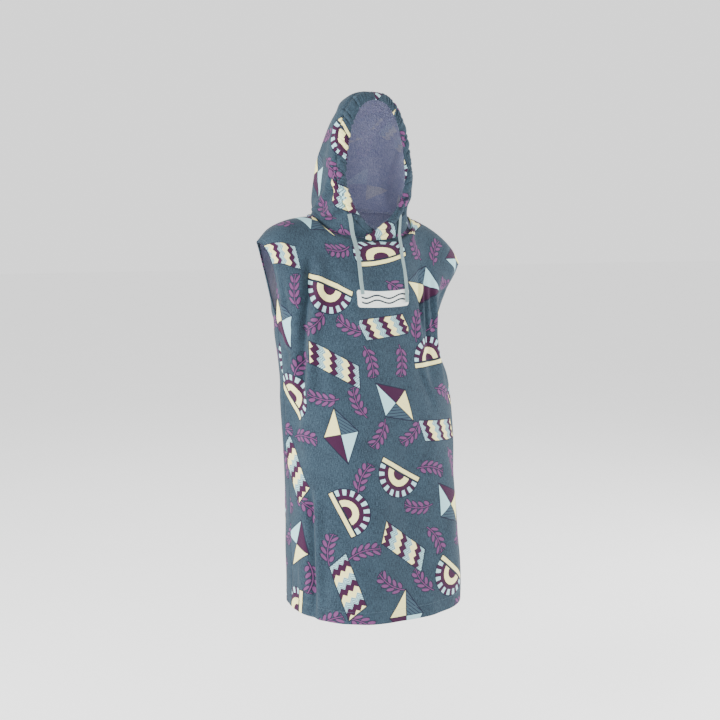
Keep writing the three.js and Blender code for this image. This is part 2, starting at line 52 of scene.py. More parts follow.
# %% The camera
VIEW = {"azimuth": -25.0, "distance": 3.0, "height": 0.010, "tilt": 7.0, "lens": 56.55, "shift": 0.0014}
azimuth = math.radians(VIEW["azimuth"])
camera = bpy.data.objects.new("camera", bpy.data.cameras.new("camera"))
bpy.context.scene.collection.objects.link(camera)
away = VIEW["distance"]
camera.location = (away * math.sin(azimuth), -away * math.cos(azimuth), VIEW["height"])
camera.rotation_euler = (math.radians(90 - VIEW["tilt"]), 0, azimuth)
camera.data.lens = VIEW["lens"]
camera.data.sensor_width = 36.0
camera.data.shift_x = VIEW["shift"]
bpy.context.scene.camera = camera
print("camera at", [round(c, 3) for c in camera.location])

# %% [markdown]
# The drawcords are flat cotton braid. Each one leaves the gathered channel at its lower end, bridges the
# crease under the hood and lies on the chest down to a plain cut end. The points are those of the CAD route,
# and `lean` turns the flat side to the cloth.

# %% The drawcords
CORD = {"width": 10.5, "thickness": 2.4, "side_round": 0.55, "face_round": 0.75, "corners": 20, "rings": 150}
CURVE_STEPS = 24
CORD_RIGHT = [
    (-75, -103.6, 28, -0.38), (-71.5, -103.4, 14.5, -0.36), (-68.7, -101.9, 0.9, -0.42),
    (-66.6, -101.2, -12.8, -0.42), (-65.6, -105.4, -26.2, -0.36), (-64.9, -112.6, -39.1, -0.26),
    (-64.4, -120, -51.3, -0.24), (-63.8, -126.2, -63.8, -0.23), (-63.1, -130.3, -77, -0.2),
    (-62.4, -134.4, -90.3, -0.16), (-62.2, -137.9, -103.8, -0.09), (-62.2, -141, -117.3, -0.02),
    (-62.3, -144, -130.9, 0.03), (-61.7, -146.6, -144.6, 0.05), (-60.5, -148.7, -158.3, 0.07),
    (-59, -150.4, -172, 0.08),
]
CORD_LEFT = [
    (66, -110.4, 28, 0.44), (66.5, -107.9, 12.5, 0.46), (66.4, -106.4, -2.8, 0.5),
    (65.8, -105.2, -18.1, 0.46), (64.7, -109.6, -32.3, 0.36), (63.5, -116.8, -45.9, 0.3),
    (62.2, -124.5, -59.3, 0.28), (60.6, -129.8, -73.7, 0.25), (61.4, -133.8, -88.7, 0.21),
    (62.7, -137.1, -103.8, 0.2), (64.1, -139.8, -119, 0.21), (65.5, -142.1, -134.3, 0.22),
    (66.3, -144.1, -149.7, 0.24), (66.9, -145.8, -165.1, 0.22), (67.3, -147.1, -180.5, 0.19),
    (67.5, -148.2, -196, 0.18),
]


def distances(points, axis=0):
    """How far along its line each point lies, from the first one on."""
    steps = np.linalg.norm(np.diff(points, axis=axis), axis=-1)
    return np.cumsum(np.insert(steps, 0, 0, axis=axis), axis=axis)


def even(points, count):
    """Points at equal distances along a finely sampled line. The first three columns are its place."""
    reach = distances(points[:, :3])
    want = np.linspace(0, reach[-1], count)
    return np.stack([np.interp(want, reach, values) for values in points.T], 1)


def through(points, count):
    """A smooth curve through the points (a Catmull-Rom spline), sampled evenly, and its length."""
    p = np.array(points, float)
    p = np.vstack([2 * p[0] - p[1], p, 2 * p[-1] - p[-2]])
    t = np.linspace(0, 1, CURVE_STEPS, endpoint=False)[:, None]
    fine = []
    for a, b, c, d in zip(p, p[1:], p[2:], p[3:]):
        curve = 2 * b + (c - a) * t + (2 * a - 5 * b + 4 * c - d) * t**2 + (3 * b - a - 3 * c + d) * t**3
        fine.append(0.5 * curve)
    fine = np.vstack(fine + [p[-2:-1]])
    return even(fine, count), distances(fine[:, :3])[-1]


def unit(v):
    return v / np.maximum(np.linalg.norm(v, axis=-1, keepdims=True), 1e-12)


def new_mesh(name, points, faces, uv=None, kinds=None):
    """An object from points in millimetres, with one UV in metres for each vertex."""
    mesh = bpy.data.meshes.new(name)
    mesh.from_pydata((np.asarray(points) * MM).tolist(), [], [list(map(int, f)) for f in faces])
    if uv is not None:
        layer = mesh.uv_layers.new(name="cloth")
        corners = np.zeros(len(mesh.loops), np.int32)
        mesh.loops.foreach_get("vertex_index", corners)
        layer.data.foreach_set("uv", (np.asarray(uv)[corners] * MM).astype(np.float32).ravel())
    if kinds is not None:
        mesh.polygons.foreach_set("material_index", np.asarray(kinds, np.int32))
    mesh.polygons.foreach_set("use_smooth", np.ones(len(mesh.polygons), bool))
    mesh.update()
    piece = bpy.data.objects.new(name, mesh)
    bpy.context.scene.collection.objects.link(piece)
    return piece


def braid(name, route, node):
    """A flat cord with rounded edges and a plain cut end, on its route."""
    line, length = through(route, CORD["rings"])
    centre, lean = line[:, :3], line[:, 3]
    along = unit(np.gradient(centre, axis=0))
    side = np.stack([np.ones(len(lean)), lean, np.zeros(len(lean))], 1)
    side = unit(side - along * (side * along).sum(1, keepdims=True))
    face = np.cross(along, side)
    turn = (np.arange(CORD["corners"]) + 0.5) / CORD["corners"] * 2 * np.pi
    x = CORD["width"] / 2 * np.sign(np.cos(turn)) * np.abs(np.cos(turn)) ** CORD["side_round"]
    y = CORD["thickness"] / 2 * np.sign(np.sin(turn)) * np.abs(np.sin(turn)) ** CORD["face_round"]
    points = centre[:, None] + side[:, None] * x[None, :, None] + face[:, None] * y[None, :, None]
    n = CORD["corners"]
    faces = [
        (i * n + j, i * n + (j + 1) % n, (i + 1) * n + (j + 1) % n, (i + 1) * n + j)
        for i in range(len(centre) - 1) for j in range(n)
    ]
    faces += [tuple(reversed(range(n))), tuple(range((len(centre) - 1) * n, len(centre) * n))]
    v = np.repeat(np.linspace(0, length, len(centre)), n)
    piece = new_mesh(name, points.reshape(-1, 3), faces, np.stack([np.tile(x, len(centre)), v], 1))
    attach(piece, "root")
    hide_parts(node)
    print(name, "length", round(length, 1), "mm")
    return piece


braid_right = braid("braid_right", CORD_RIGHT, "drawcord_right")
braid_left = braid("braid_left", CORD_LEFT, "drawcord_left")

# %% [markdown]
# The form of the cloth comes from the same few sizes and tables as the CAD model, so both lie in one place.
# A table's row is a level of the body or a hoop of the hood, and a smooth curve runs through each column.

# %% The form of the body and hood, in millimetres
CLOTH, SEAM_GAP, SEAM_TURN = 2.5, 0.1, 11.0
HEM_Z, UNDERARM_Z = -1003.0, -238.0
HEM_SIDE_RISE = {"right": 12.0, "left": 20.0, "above": 320.0}
NECK = {"half_width": 131.0, "front": 108.0, "back": 80.0, "front_z": -36.0, "side_z": 27.0, "nape_z": 37.0}
NECK_SHARE = 0.38
BODY_COLUMNS = ("z", "half_width", "front", "back", "shift_x", "shift_y")
BODY_LEVELS = [
    (-238, 235, 150, 120, 0, 0),
    (-340, 229, 153, 130, 5, -5),
    (-480, 232, 162, 148, 17, -16),
    (-700, 237, 176, 166, 23, -32),
    (-900, 238, 188, 182, 24, -44),
    (-1003, 238, 193, 190, 23, -48),
]
BODY_SQUARENESS = 2.25
RIGHT_SHOULDER = [(131, 27), (165, 24), (208, 14), (252, -8), (285, -42)]
LEFT_SHOULDER = [(131, 27), (172, 12), (220, -17), (268, -60), (299, -100)]
ARMHOLE = {"front": 44.0, "back": 34.0, "aside": 8.0, "from": 0.45, "fullness": 0.8}
FLAT_HALF_WIDTH = 335.0
HOOP_COLUMNS = ("share", "top_y", "top_z", "widest", "rise", "lower", "upper", "slant")
HOOPS = [
    (0, -97, 316, 85, 0.44, 1.3, 0.84, 0.35),
    (0.08, -74, 334, 104, 0.43, 1.2, 0.72, 0.4),
    (0.2, -42, 335, 113, 0.42, 1.1, 0.68, 0.5),
    (0.35, -2, 319, 113, 0.4, 1, 0.76, 0.6),
    (0.5, 38, 290, 110, 0.38, 1, 0.82, 0.7),
    (0.65, 74, 240, 109, 0.34, 1, 0.84, 0.8),
    (0.8, 96, 168, 110, 0.28, 1, 0.9, 0.9),
    (0.91, 98, 96, 108, 0.2, 1, 0.95, 1),
    (1, 80, 37, 92, 0, 1, 1, 1),
]
HOOP_LOWER_PART, HOOD_LAST_FOOT = 0.4, 141.9
LAP = {"past": 30.0, "clear": 5.4, "lift": 0.45, "x": (34, 82), "z": (30, 90), "y": (-60, -20)}
CHANNEL = {
    "share": 0.08, "seam_share": 0.0026, "edge": 1.2, "puff": 4.4, "fullness": 0.55, "depth": 2.7,
    "groove": 5.0, "groove_wide": 3.6, "roll": 3.2, "roll_lobes": 2.8, "roll_thick": 0.9,
}


def ease(value, low, high):
    t = np.clip((np.asarray(value, float) - low) / (high - low), 0, 1)
    return t * t * (3 - 2 * t)


def column(rows, names, by, name, place):
    """A column of a table at a place between its rows, as one smooth curve."""
    key = np.array([row[names.index(by)] for row in rows], float)
    val = np.array([row[names.index(name)] for row in rows], float)
    order = np.sign(key[-1] - key[0])
    place = np.asarray(place, float)
    i = np.clip(np.searchsorted(order * key, order * place, side="right") - 1, 0, len(rows) - 2)
    before, after = np.maximum(i - 1, 0), np.minimum(i + 2, len(rows) - 1)
    span = key[i + 1] - key[i]
    slope_here = (val[i + 1] - val[before]) / (key[i + 1] - key[before]) * span
    slope_next = (val[after] - val[i]) / (key[after] - key[i]) * span
    t = np.clip((place - key[i]) / span, 0, 1)
    u = 1 - t
    between = val[i] * (1 + 2 * t) * u * u + val[i + 1] * (3 - 2 * t) * t * t
    return between + slope_here * t * u * u - slope_next * t * t * u


def neckline(angle, side):
    """The neckline from the middle of the front (0) over the side to the nape (pi)."""
    angle = np.asarray(angle, float)
    forward = np.cos(angle)
    reach = np.where(forward > 0, NECK["front"], NECK["back"])
    end_z = np.where(forward > 0, NECK["front_z"], NECK["nape_z"])
    z = NECK["side_z"] + np.abs(forward) * (end_z - NECK["side_z"])
    return np.stack([side * NECK["half_width"] * np.sin(angle), -reach * forward, z], -1)


def neck_up(is_front):
    drop = NECK["side_z"] - (NECK["front_z"] if is_front else NECK["nape_z"])
    return unit(np.array([0, -drop if is_front else drop, NECK["front"] if is_front else NECK["back"]]))


def neck_out(angle, side, is_front):
    """In the neckline's plane, the direction that points away from the neck."""
    step = 0.01
    if abs(angle - math.pi / 2) < 2 * step:
        return np.array([side, 0.0, 0.0])
    run = neckline(angle + step, side) - neckline(angle - step, side)
    return unit(np.cross(run, neck_up(is_front))) * side


def level_row(z, is_front, count):
    level = {name: float(column(BODY_LEVELS, BODY_COLUMNS, "z", name, z)) for name in BODY_COLUMNS[1:]}
    angle = np.linspace(-np.pi / 2, np.pi / 2, 600)
    depth = -level["front"] if is_front else level["back"]
    x = level["half_width"] * np.sign(np.sin(angle)) * np.abs(np.sin(angle)) ** (2 / BODY_SQUARENESS)
    y = depth * np.maximum(0, np.cos(angle)) ** (2 / BODY_SQUARENESS)
    line = np.stack([level["shift_x"] + x, level["shift_y"] + y, np.full(len(x), z)], 1)
    return even(line, count + 1)


def top_edge(across, is_front):
    """A panel's top edge: beside the neckline in the middle, then the shoulder seam."""
    side, share = (-1 if across < 0 else 1), abs(across)
    if share <= NECK_SHARE + 1e-9:
        angle = share / NECK_SHARE * math.pi / 2
        turn = angle if is_front else math.pi - angle
        below = neck_up(is_front) * SEAM_TURN / 2
        return neckline(turn, side) + neck_out(turn, side, is_front) * SEAM_TURN - below
    seam = RIGHT_SHOULDER if side < 0 else LEFT_SHOULDER
    out = (share - NECK_SHARE) / (1 - NECK_SHARE)
    x = seam[0][0] + SEAM_TURN + out * (seam[-1][0] - seam[0][0] - SEAM_TURN)
    return np.array([side * x, 0, float(column(seam, ("x", "z"), "x", "z", x)) - (1 - out) * SEAM_TURN / 2])


underarm_half_width = float(column(BODY_LEVELS, BODY_COLUMNS, "z", "half_width", UNDERARM_Z))
print("at the underarm the body is", round(underarm_half_width, 1), "mm half wide")

# %% [markdown]
# Thick towelling folds in long soft ridges with a trough beside them. `FOLDS` holds the large ones. The first
# two, in front of the right armhole, are narrower here than in the CAD model and lie where the cloth shows
# them, and the others are the same. `CREASES` adds smaller ones, which run from one place to another: under
# the armholes, below the hood, at the chest and near the hem, uneven in length, depth and spacing.

# %% Folds and creases, in millimetres (at: 0 is the middle of the front, 2 the middle of the back)
FOLDS = [
    # at, drift, top, foot, ridge, trough, width, side
    (-0.49, -0.26, -60, -520, 14, 22, 17, -1),
    (-0.67, 0, -640, -1052, 11, 19, 14, -1),
    (-0.26, 0.05, -70, -330, 6, 5, 36, 1),
    (0.8, -0.02, -120, -410, -20, 0, 62, 1),
    (0.6, -0.08, -100, -470, 6, 9, 22, -1),
    (0.5, 0.04, -70, -300, 5, 7, 30, -1),
    (0.45, 0.06, -520, -1160, 8, 6, 55, 1),
    (-0.2, -0.05, -480, -1160, 7, 6, 60, 1),
    (-1.06, 0.04, -380, -700, 6, 6, 34, 1),
    (-1.42, -0.04, -60, -560, 12, 15, 32, 1),
    (-1.62, 0.05, -430, -1160, 10, 8, 52, -1),
    (1.45, 0.05, -80, -520, 11, 13, 32, -1),
    (1.64, -0.06, -500, -1160, 9, 9, 50, 1),
    (2, 0.04, -130, -800, 7, 7, 60, 1),
    (1.08, -0.05, -420, -1100, 7, 7, 44, -1),
]
FOLD_FADE = (0.22, 0.62)
CREASES = [
    # from at, from z, to at, to z, height, width
    (-0.64, -290, -0.95, -376, 5, 10),
    (-0.7, -400, -0.98, -440, 2.6, 9),
    (-0.96, -105, -0.84, -260, 3.4, 9),
    (-0.84, -120, -0.76, -250, 2.6, 10),
    (0.39, -130, 0.43, -310, 6, 6),
    (0.46, -140, 0.5, -340, 5.6, 6),
    (0.54, -150, 0.56, -300, 4, 7),
    (0.4, -352, 0.6, -356, 2.6, 4),
    (-1.1, -590, -0.84, -606, 3, 4),
    (0.33, -190, 0.38, -420, 2.6, 10),
    (0.34, -370, 0.47, -480, 3, 9),
    (0.58, -270, 0.6, -460, 2.8, 11),
    (-0.92, -150, -0.6, -215, 3, 9),
    (-0.94, -190, -0.7, -280, 2.6, 8),
    (-0.96, -225, -0.78, -360, 3.2, 10),
    (-0.55, -70, -0.4, -165, 2.2, 12),
    (-0.12, -70, -0.2, -190, 2, 11),
    (0.1, -60, 0.16, -150, 1.6, 10),
    (0.95, -180, 0.66, -235, 3, 9),
    (0.96, -215, 0.72, -300, 3.2, 10),
    (0.97, -240, 0.8, -370, 2.8, 11),
    (0.9, -150, 0.62, -185, 2.2, 8),
    (0.7, -330, 0.82, -480, 2.4, 13),
    (0.3, -300, 0.42, -430, 1.4, 15),
    (-0.52, -360, -0.46, -520, 1.8, 14),
    (-0.8, -420, -0.74, -600, 2.2, 12),
    (-0.78, -880, -0.75, -1010, 2.6, 8),
    (-0.86, -850, -0.85, -1010, 2.2, 9),
    (-0.58, -900, -0.57, -1010, 1.8, 10),
    (-0.3, -860, -0.34, -1010, 1.5, 14),
    (0.2, -840, 0.22, -1010, 1.4, 15),
    (0.66, -820, 0.7, -1010, 2.2, 12),
    (0.88, -700, 0.86, -1010, 2, 14),
    (-1.05, -200, -1.35, -290, 3, 10),
    (-1.06, -240, -1.24, -380, 2.6, 11),
    (1.06, -230, 1.34, -310, 2.8, 10),
    (1.05, -260, 1.22, -400, 2.4, 12),
    (1.75, -90, 1.66, -230, 2.4, 13),
    (-1.8, -80, -1.72, -240, 2.2, 12),
    (1.95, -640, 1.9, -1010, 2, 16),
    (-1.3, -720, -1.34, -1010, 2.2, 14),
    (1.3, -760, 1.26, -1010, 2.4, 13),
]
WAVES = [
    # waves round the body, waves for each metre down, phase, height
    (7, 2.1, 0.4, 1.3),
    (11, -3.4, 2.2, 0.8),
    (17, 4.8, 1.1, 0.5),
    (23, -6.5, 3.0, 0.35),
]


def wrapped(gap):
    return gap - 4 * np.round(gap / 4)


def crease(x, y, start, end, height, width):
    """A soft ridge along a line, with a shallow trough on its lower side, faded out at both ends."""
    run = np.array(end, float) - start
    length = np.hypot(*run)
    along = (x * run[0] + y * run[1]) / length
    across = (x * run[1] - y * run[0]) / length
    t = along / length
    fade = ease(t, -0.1, 0.35) * (1 - ease(t, 0.55, 1.1))
    spread = width * (1 + 0.5 * np.clip(t, 0, 1))
    return height * fade * (np.exp(-((across / spread) ** 2)) - 0.7 * np.exp(-((across / spread - 1.5) ** 2)))


def fold_height(around, z):
    height = np.zeros_like(z)
    for at, drift, top, foot, ridge, trough, width, side in FOLDS:
        down = (top - z) / (top - foot)
        x = wrapped(around - at - drift * down) * FLAT_HALF_WIDTH / width
        fade = ease(down, 0, FOLD_FADE[0]) * (1 - ease(down, FOLD_FADE[1], 1)) * (down > 0) * (down < 1)
        height += fade * (ridge * np.exp(-x * x) - trough * np.exp(-((x - 1.5 * side) ** 2)))
    for at, top, at_end, foot, tall, width in CREASES:
        x = wrapped(around - at) * FLAT_HALF_WIDTH
        run = (at_end - at) * FLAT_HALF_WIDTH
        height += crease(x, z - top, (0, 0), (run, foot - top), tall, width)
    for waves, down, phase, tall in WAVES:
        height += tall * np.sin(2 * np.pi * (waves * around / 4 + down * z * MM) + phase)
    return height


print(len(FOLDS), "folds and", len(CREASES), "creases")

# %% [markdown]
# Cloth has two sides. `cloth_shell` takes a sheet of quads with a direction for each point, and gives it an
# outer face, an inner face and closed edges. A hemmed edge is turned over, so it gets a rounded rim, while an
# edge that a seam joins stays flat and lies against the next piece.

# %% Closed shells of cloth
RIM_STEPS = 3


def grid_quads(index, flip):
    a, b, c, d = index[:-1, :-1], index[:-1, 1:], index[1:, 1:], index[1:, :-1]
    quads = np.stack([a, b, c, d], -1).reshape(-1, 4)
    return quads[:, ::-1] if flip else quads


def cloth_shell(name, points, normals, quads, uv, outward, inward, hemmed, turned):
    """outward and inward are distances, hemmed marks points on a rounded edge, turned marks hem inside."""
    count = len(points)
    outer, inner = points + normals * outward[:, None], points - normals * inward[:, None]
    vertices, uvs = [outer, inner], [uv, uv]
    faces = [tuple(q) for q in quads]
    kinds = [0] * len(quads)
    for q in quads:
        faces.append(tuple(int(k) + count for k in q[::-1]))
        kinds.append(0 if turned[q].all() else 1)
    edges = {}
    for q in quads:
        for a, b in zip(q, np.roll(q, -1)):
            edges[(int(a), int(b))] = tuple(q)
    border = [(a, b) for a, b in edges if (b, a) not in edges]
    rim, total = {}, 2 * count

    def rim_of(k, inside):
        nonlocal total
        if k not in rim:
            middle, reach = (outer[k] + inner[k]) / 2, (outer[k] - inner[k]) / 2
            toward = unit(points[k] - inside)
            turn = (np.arange(RIM_STEPS)[:, None] + 1) / (RIM_STEPS + 1) * np.pi
            ring = middle + reach * np.cos(turn) + toward * np.linalg.norm(reach) * np.sin(turn)
            vertices.append(ring)
            uvs.append(np.repeat(uv[k : k + 1], RIM_STEPS, 0))
            rim[k] = [k] + list(range(total, total + RIM_STEPS)) + [k + count]
            total += RIM_STEPS
        return rim[k]

    ends = {}
    for a, b in border:
        if hemmed[a] and hemmed[b]:
            order = list(edges[(a, b)])
            near_a = order[(order.index(a) - 1) % 4]
            near_b = order[(order.index(b) + 1) % 4]
            ra, rb = rim_of(a, points[near_a]), rim_of(b, points[near_b])
            for k in range(RIM_STEPS + 1):
                faces.append((rb[k], ra[k], ra[k + 1], rb[k + 1]))
                kinds.append(0)
            ends[a] = ends.get(a, 0) + 1
            ends[b] = ends.get(b, 0) - 1
        else:
            faces.append((b, a, a + count, b + count))
            kinds.append(0)
    for k, sign in ends.items():
        if sign:
            faces.append(tuple(rim[k][::-1] if sign < 0 else rim[k]))
            kinds.append(0)
    piece = new_mesh(name, np.vstack(vertices), faces, np.vstack(uvs), kinds)
    mesh = bmesh.new()
    mesh.from_mesh(piece.data)
    open_edges = sum(not e.is_manifold for e in mesh.edges)
    mesh.free()
    print(name, "faces", len(faces), "open or shared edges", open_edges)
    return piece


# %% [markdown]
# The front and the back panel are cut alike. Rows run up from the hem to the underarm, then over the chest to
# the shoulder seam, where the neck is cut out. The hem is closer meshed, for its fold and its stitched line.

# %% The body panels
BODY_ACROSS = 200
HEM = {"tall": 30.0, "above": 6.0, "turned": 1.3, "sunk": 0.7, "line_wide": 2.2}
PUCKERS = {"height": 0.35, "count": 190, "sway": 2.5, "sways": 37, "wide": 11}
SIDE_SEAM = {"sunk": 0.9, "wide": 3.2}
ARM_HEM = 10.0
ROWS = {"hem": 22, "skirt": 118, "chest": 62, "neck": 4}
CREASE_SOFTENED = 60
CHEST_FADE = (6 / 11, 10 / 11)
SEAM_LEAN = (1.0, 0.7, 0.35)


def body_grid(is_front):
    across = np.linspace(-1, 1, BODY_ACROSS + 1)
    hem_top = HEM_Z + HEM["tall"] + HEM["above"]
    low_rows = np.r_[
        np.linspace(HEM_Z, hem_top, ROWS["hem"], endpoint=False),
        np.linspace(hem_top, UNDERARM_Z, ROWS["skirt"] + 1),
    ]
    rows = []
    for z in low_rows:
        row = level_row(z, is_front, BODY_ACROSS)
        near = 1 - ease(z, HEM_Z, HEM_Z + HEM_SIDE_RISE["above"])
        row[:, 2] += near * across**2 * np.where(across < 0, HEM_SIDE_RISE["right"], HEM_SIDE_RISE["left"])
        rows.append(row)
    low, top = rows[-1], np.array([top_edge(a, is_front) for a in across])
    for angle in np.linspace(0, np.pi / 2, ROWS["chest"] + 1)[1:]:
        point = top + (low - top) * np.cos(angle)
        point[:, 2] = low[:, 2] + (top[:, 2] - low[:, 2]) * np.sin(angle)
        wide = np.sin(2 * angle).clip(0) ** ARMHOLE["fullness"] * ease(np.abs(across), ARMHOLE["from"], 1)
        point[:, 1] += wide * (-ARMHOLE["front"] if is_front else ARMHOLE["back"])
        point[:, 0] += wide * np.sign(across) * ARMHOLE["aside"]
        rows.append(point)
    grid = np.array(rows)
    underarm = len(low_rows) - 1
    # the crease between the lower and the upper part is softened, except beside the side seams
    distance = np.abs(np.arange(len(grid)) - underarm)
    weight = (1 - ease(distance, 6, 20))[:, None] * (1 - ease(np.abs(across), 0.82, 0.97))[None, :]
    for _ in range(CREASE_SOFTENED):
        grid[1:-1] += 0.5 * weight[1:-1, :, None] * ((grid[:-2] + grid[2:]) / 2 - grid[1:-1])
    return grid, across, underarm


def grid_normals(grid, facing):
    along_row, along_column = np.gradient(grid, axis=1), np.gradient(grid, axis=0)
    return unit(np.cross(along_row, along_column)) * facing


def share_side_seams(front, back, top_row):
    for end in (0, -1):
        both = unit(front[: top_row + 1, end] + back[: top_row + 1, end])
        front[: top_row + 1, end] = both
        back[: top_row + 1, end] = both


def facing(is_front):
    return 1 if is_front else -1


def panel_height(panel, is_front):
    """How far the folds, the hem's stitched line and the side seams move the cloth out or in."""
    across, grid = panel["across"], panel["grid"]
    around = across if is_front else np.where(across < 0, -1, 1) * (2 - np.abs(across))
    around = np.broadcast_to(around, grid.shape[:2])
    chest = np.clip((np.arange(len(grid)) - panel["underarm"]) / ROWS["chest"], 0, 1)
    height = fold_height(around, grid[..., 2]) * (1 - ease(chest, *CHEST_FADE))[:, None]
    above_line = grid[..., 2] - grid[0:1, :, 2] - HEM["tall"]
    height -= HEM["sunk"] * np.exp(-((above_line / HEM["line_wide"]) ** 2))
    sway = PUCKERS["sway"] * np.sin(around * PUCKERS["sways"])
    pucker = np.sin(around * PUCKERS["count"] + sway) * np.exp(-((above_line / PUCKERS["wide"]) ** 2))
    height += PUCKERS["height"] * pucker
    inset = (1 - np.abs(across)) * FLAT_HALF_WIDTH
    height -= SIDE_SEAM["sunk"] * np.exp(-((inset / SIDE_SEAM["wide"]) ** 2)) * (chest == 0)[:, None]
    return height


def lean_to_seam(normal, across, is_front):
    """Near a shoulder seam the cloth's directions lean up, so that both panels meet edge to edge."""
    for j in np.where(np.abs(across) > NECK_SHARE + 1e-9)[0]:
        seam = top_edge(across[j] + 0.002, is_front) - top_edge(across[j] - 0.002, is_front)
        upward = unit(np.array([-seam[2], 0, seam[0]]))
        for rows_below, share in enumerate(SEAM_LEAN):
            k = len(normal) - 1 - rows_below
            normal[k, j] = unit(normal[k, j] * (1 - share) + upward * share)


def neck_strip(grid, normal, across, neck, is_front):
    """The last rows at the neck, which turn up from the panel to the neckline."""
    turns = [abs(a) / NECK_SHARE * math.pi / 2 for a in across[neck]]
    turns = [t if is_front else math.pi - t for t in turns]
    sides = [-1 if a < 0 else 1 for a in across[neck]]
    rim = np.array([neckline(t, s) for t, s in zip(turns, sides)])
    out = np.array([neck_out(t, s, is_front) for t, s in zip(turns, sides)])
    under = rim - neck_up(is_front) * SEAM_TURN / 2
    points, directions = [], []
    for k in range(1, ROWS["neck"] + 1):
        t = k / ROWS["neck"]
        points.append((1 - t) ** 2 * grid[-1, neck] + 2 * t * (1 - t) * under + t * t * rim)
        directions.append(unit(normal[-2, neck] * (1 - t) + out * t))
    points[-1] = points[-1] - neck_up(is_front) * SEAM_GAP / 2
    normal[-1, neck] = unit(normal[-2, neck] * 0.9 + out * 0.1)
    return np.array(points), np.array(directions)


def body_uv(grid, across, neck, is_front):
    """Across the cloth's width, and up its length by the distance along each column."""
    v = distances(grid)
    columns = len(across)
    middle = slice(int(columns * 0.3), int(columns * 0.7))
    v = 0.5 * v + 0.5 * v[:, middle].mean(1, keepdims=True)
    u = np.broadcast_to((across if is_front else 2 - across) * FLAT_HALF_WIDTH, v.shape)
    strip_v = v[-1, neck] + np.arange(1, ROWS["neck"] + 1)[:, None] * 3
    strip_u = np.broadcast_to(u[-1, neck], strip_v.shape)
    return np.vstack([np.stack([u, v], -1).reshape(-1, 2), np.stack([strip_u, strip_v], -1).reshape(-1, 2)])


def panel_shell(panel, normal, is_front):
    grid, across = panel["grid"], panel["across"]
    rows, columns = grid.shape[:2]
    neck = np.where(np.abs(across) <= NECK_SHARE + 1e-9)[0]
    lean_to_seam(normal, across, is_front)
    strip, strip_normal = neck_strip(grid, normal, across, neck, is_front)
    index = np.arange(rows * columns).reshape(rows, columns)
    strip_index = rows * columns + np.arange(strip[..., 0].size).reshape(strip.shape[:2])
    parts = (index, np.vstack([index[-1:, neck], strip_index]))
    quads = np.vstack([grid_quads(part, not is_front) for part in parts])
    points = np.vstack([grid.reshape(-1, 3), strip.reshape(-1, 3)])
    directions = np.vstack([normal.reshape(-1, 3), strip_normal.reshape(-1, 3)])
    points[:, 1] -= facing(is_front) * SEAM_GAP / 2
    # the turned hems lie inside, along the bottom and up both armholes
    in_hem = grid[..., 2] - grid[0:1, :, 2] < HEM["tall"]
    row_number = np.arange(rows)[:, None]
    inset = (1 - np.abs(across))[None, :] * FLAT_HALF_WIDTH
    in_arm = (row_number > panel["underarm"]) & (row_number < rows - 2) & (inset < ARM_HEM)
    in_strip = np.zeros(strip[..., 0].size, bool)
    turned = np.r_[(in_hem | in_arm).ravel(), in_strip]
    hemmed = np.zeros((rows, columns), bool)
    hemmed[0] = True
    hemmed[panel["underarm"] : rows - 1, [0, -1]] = True
    panel["skin"] = grid + normal * (CLOTH / 2)
    panel["skin"][..., 1] -= facing(is_front) * SEAM_GAP / 2
    return cloth_shell(
        "front_cloth" if is_front else "back_cloth", points, directions, quads,
        body_uv(grid, across, neck, is_front), np.full(len(points), CLOTH / 2),
        CLOTH / 2 + HEM["turned"] * turned, np.r_[hemmed.ravel(), in_strip], turned,
    )


def body_normals(panels):
    """The panels' directions, shared along the side seams."""
    normals = {f: grid_normals(panel["grid"], facing(f)) for f, panel in panels.items()}
    share_side_seams(normals[True], normals[False], panels[True]["underarm"])
    return normals


def body_panels():
    panels = {}
    for is_front in (True, False):
        grid, across, underarm = body_grid(is_front)
        panels[is_front] = {"grid": grid, "across": across, "underarm": underarm}
    plain = body_normals(panels)
    for f, panel in panels.items():
        panel["grid"] = panel["grid"] + plain[f] * panel_height(panel, f)[..., None]
    folded = body_normals(panels)
    return [panel_shell(panel, folded[f], f) for f, panel in panels.items()], panels


(front_cloth, back_cloth), body = body_panels()

# %% [markdown]
# The hood is two panels with a seam over the head. Each is a fan of hoops that rise from the neckline. The
# front edge is turned over into a channel, and the cord inside gathers it: many short uneven lobes with sharp
# valleys, which fade into small puckers behind the stitched line.

# %% The hood panels and the gathered channel
HOOD_GRID = {"band": 12, "panel": 46, "along": 420, "stride": 3}
HOOD_FOLDS = [
    # side, from share, from height share, to share, to height share, height, width
    (-1, 0.09, 0.27, 0.56, 0.05, 10, 7),
    (-1, 0.08, 0.42, 0.7, 0.11, 9, 8),
    (-1, 0.09, 0.56, 0.36, 0.24, 6, 6),
    (-1, 0.26, 0.13, 0.9, 0.03, 7, 7),
    (-1, 0.3, 0.66, 0.75, 0.46, 3.6, 18),
    (-1, 0.16, 0.8, 0.5, 0.92, 2.6, 14),
    (-1, 0.12, 0.66, 0.34, 0.74, 2.4, 10),
    (1, 0.1, 0.2, 0.44, 0.03, 5, 10),
    (1, 0.13, 0.32, 0.62, 0.12, 4.4, 13),
    (1, 0.12, 0.48, 0.28, 0.28, 3.6, 9),
    (1, 0.32, 0.6, 0.72, 0.44, 3.2, 18),
    (1, 0.2, 0.8, 0.55, 0.94, 2.4, 15),
]
GATHERS = {"count": 30, "pucker": 2.4, "reach": 17.0}
HOOD_SPAN = (330, 420)
MIDDLE_SEAM = {"sunk": 0.8, "wide": 3.0}
# The hood laid flat: rows, columns and rounds of each pass, its place in the print, and a row near its edge
PATTERN_PASSES = ((8, 12, 500), (16, 43, 150))
PATTERN_PLACE = {"across": 1900, "apart": 260, "up": 40}
EDGE_ROW = 8


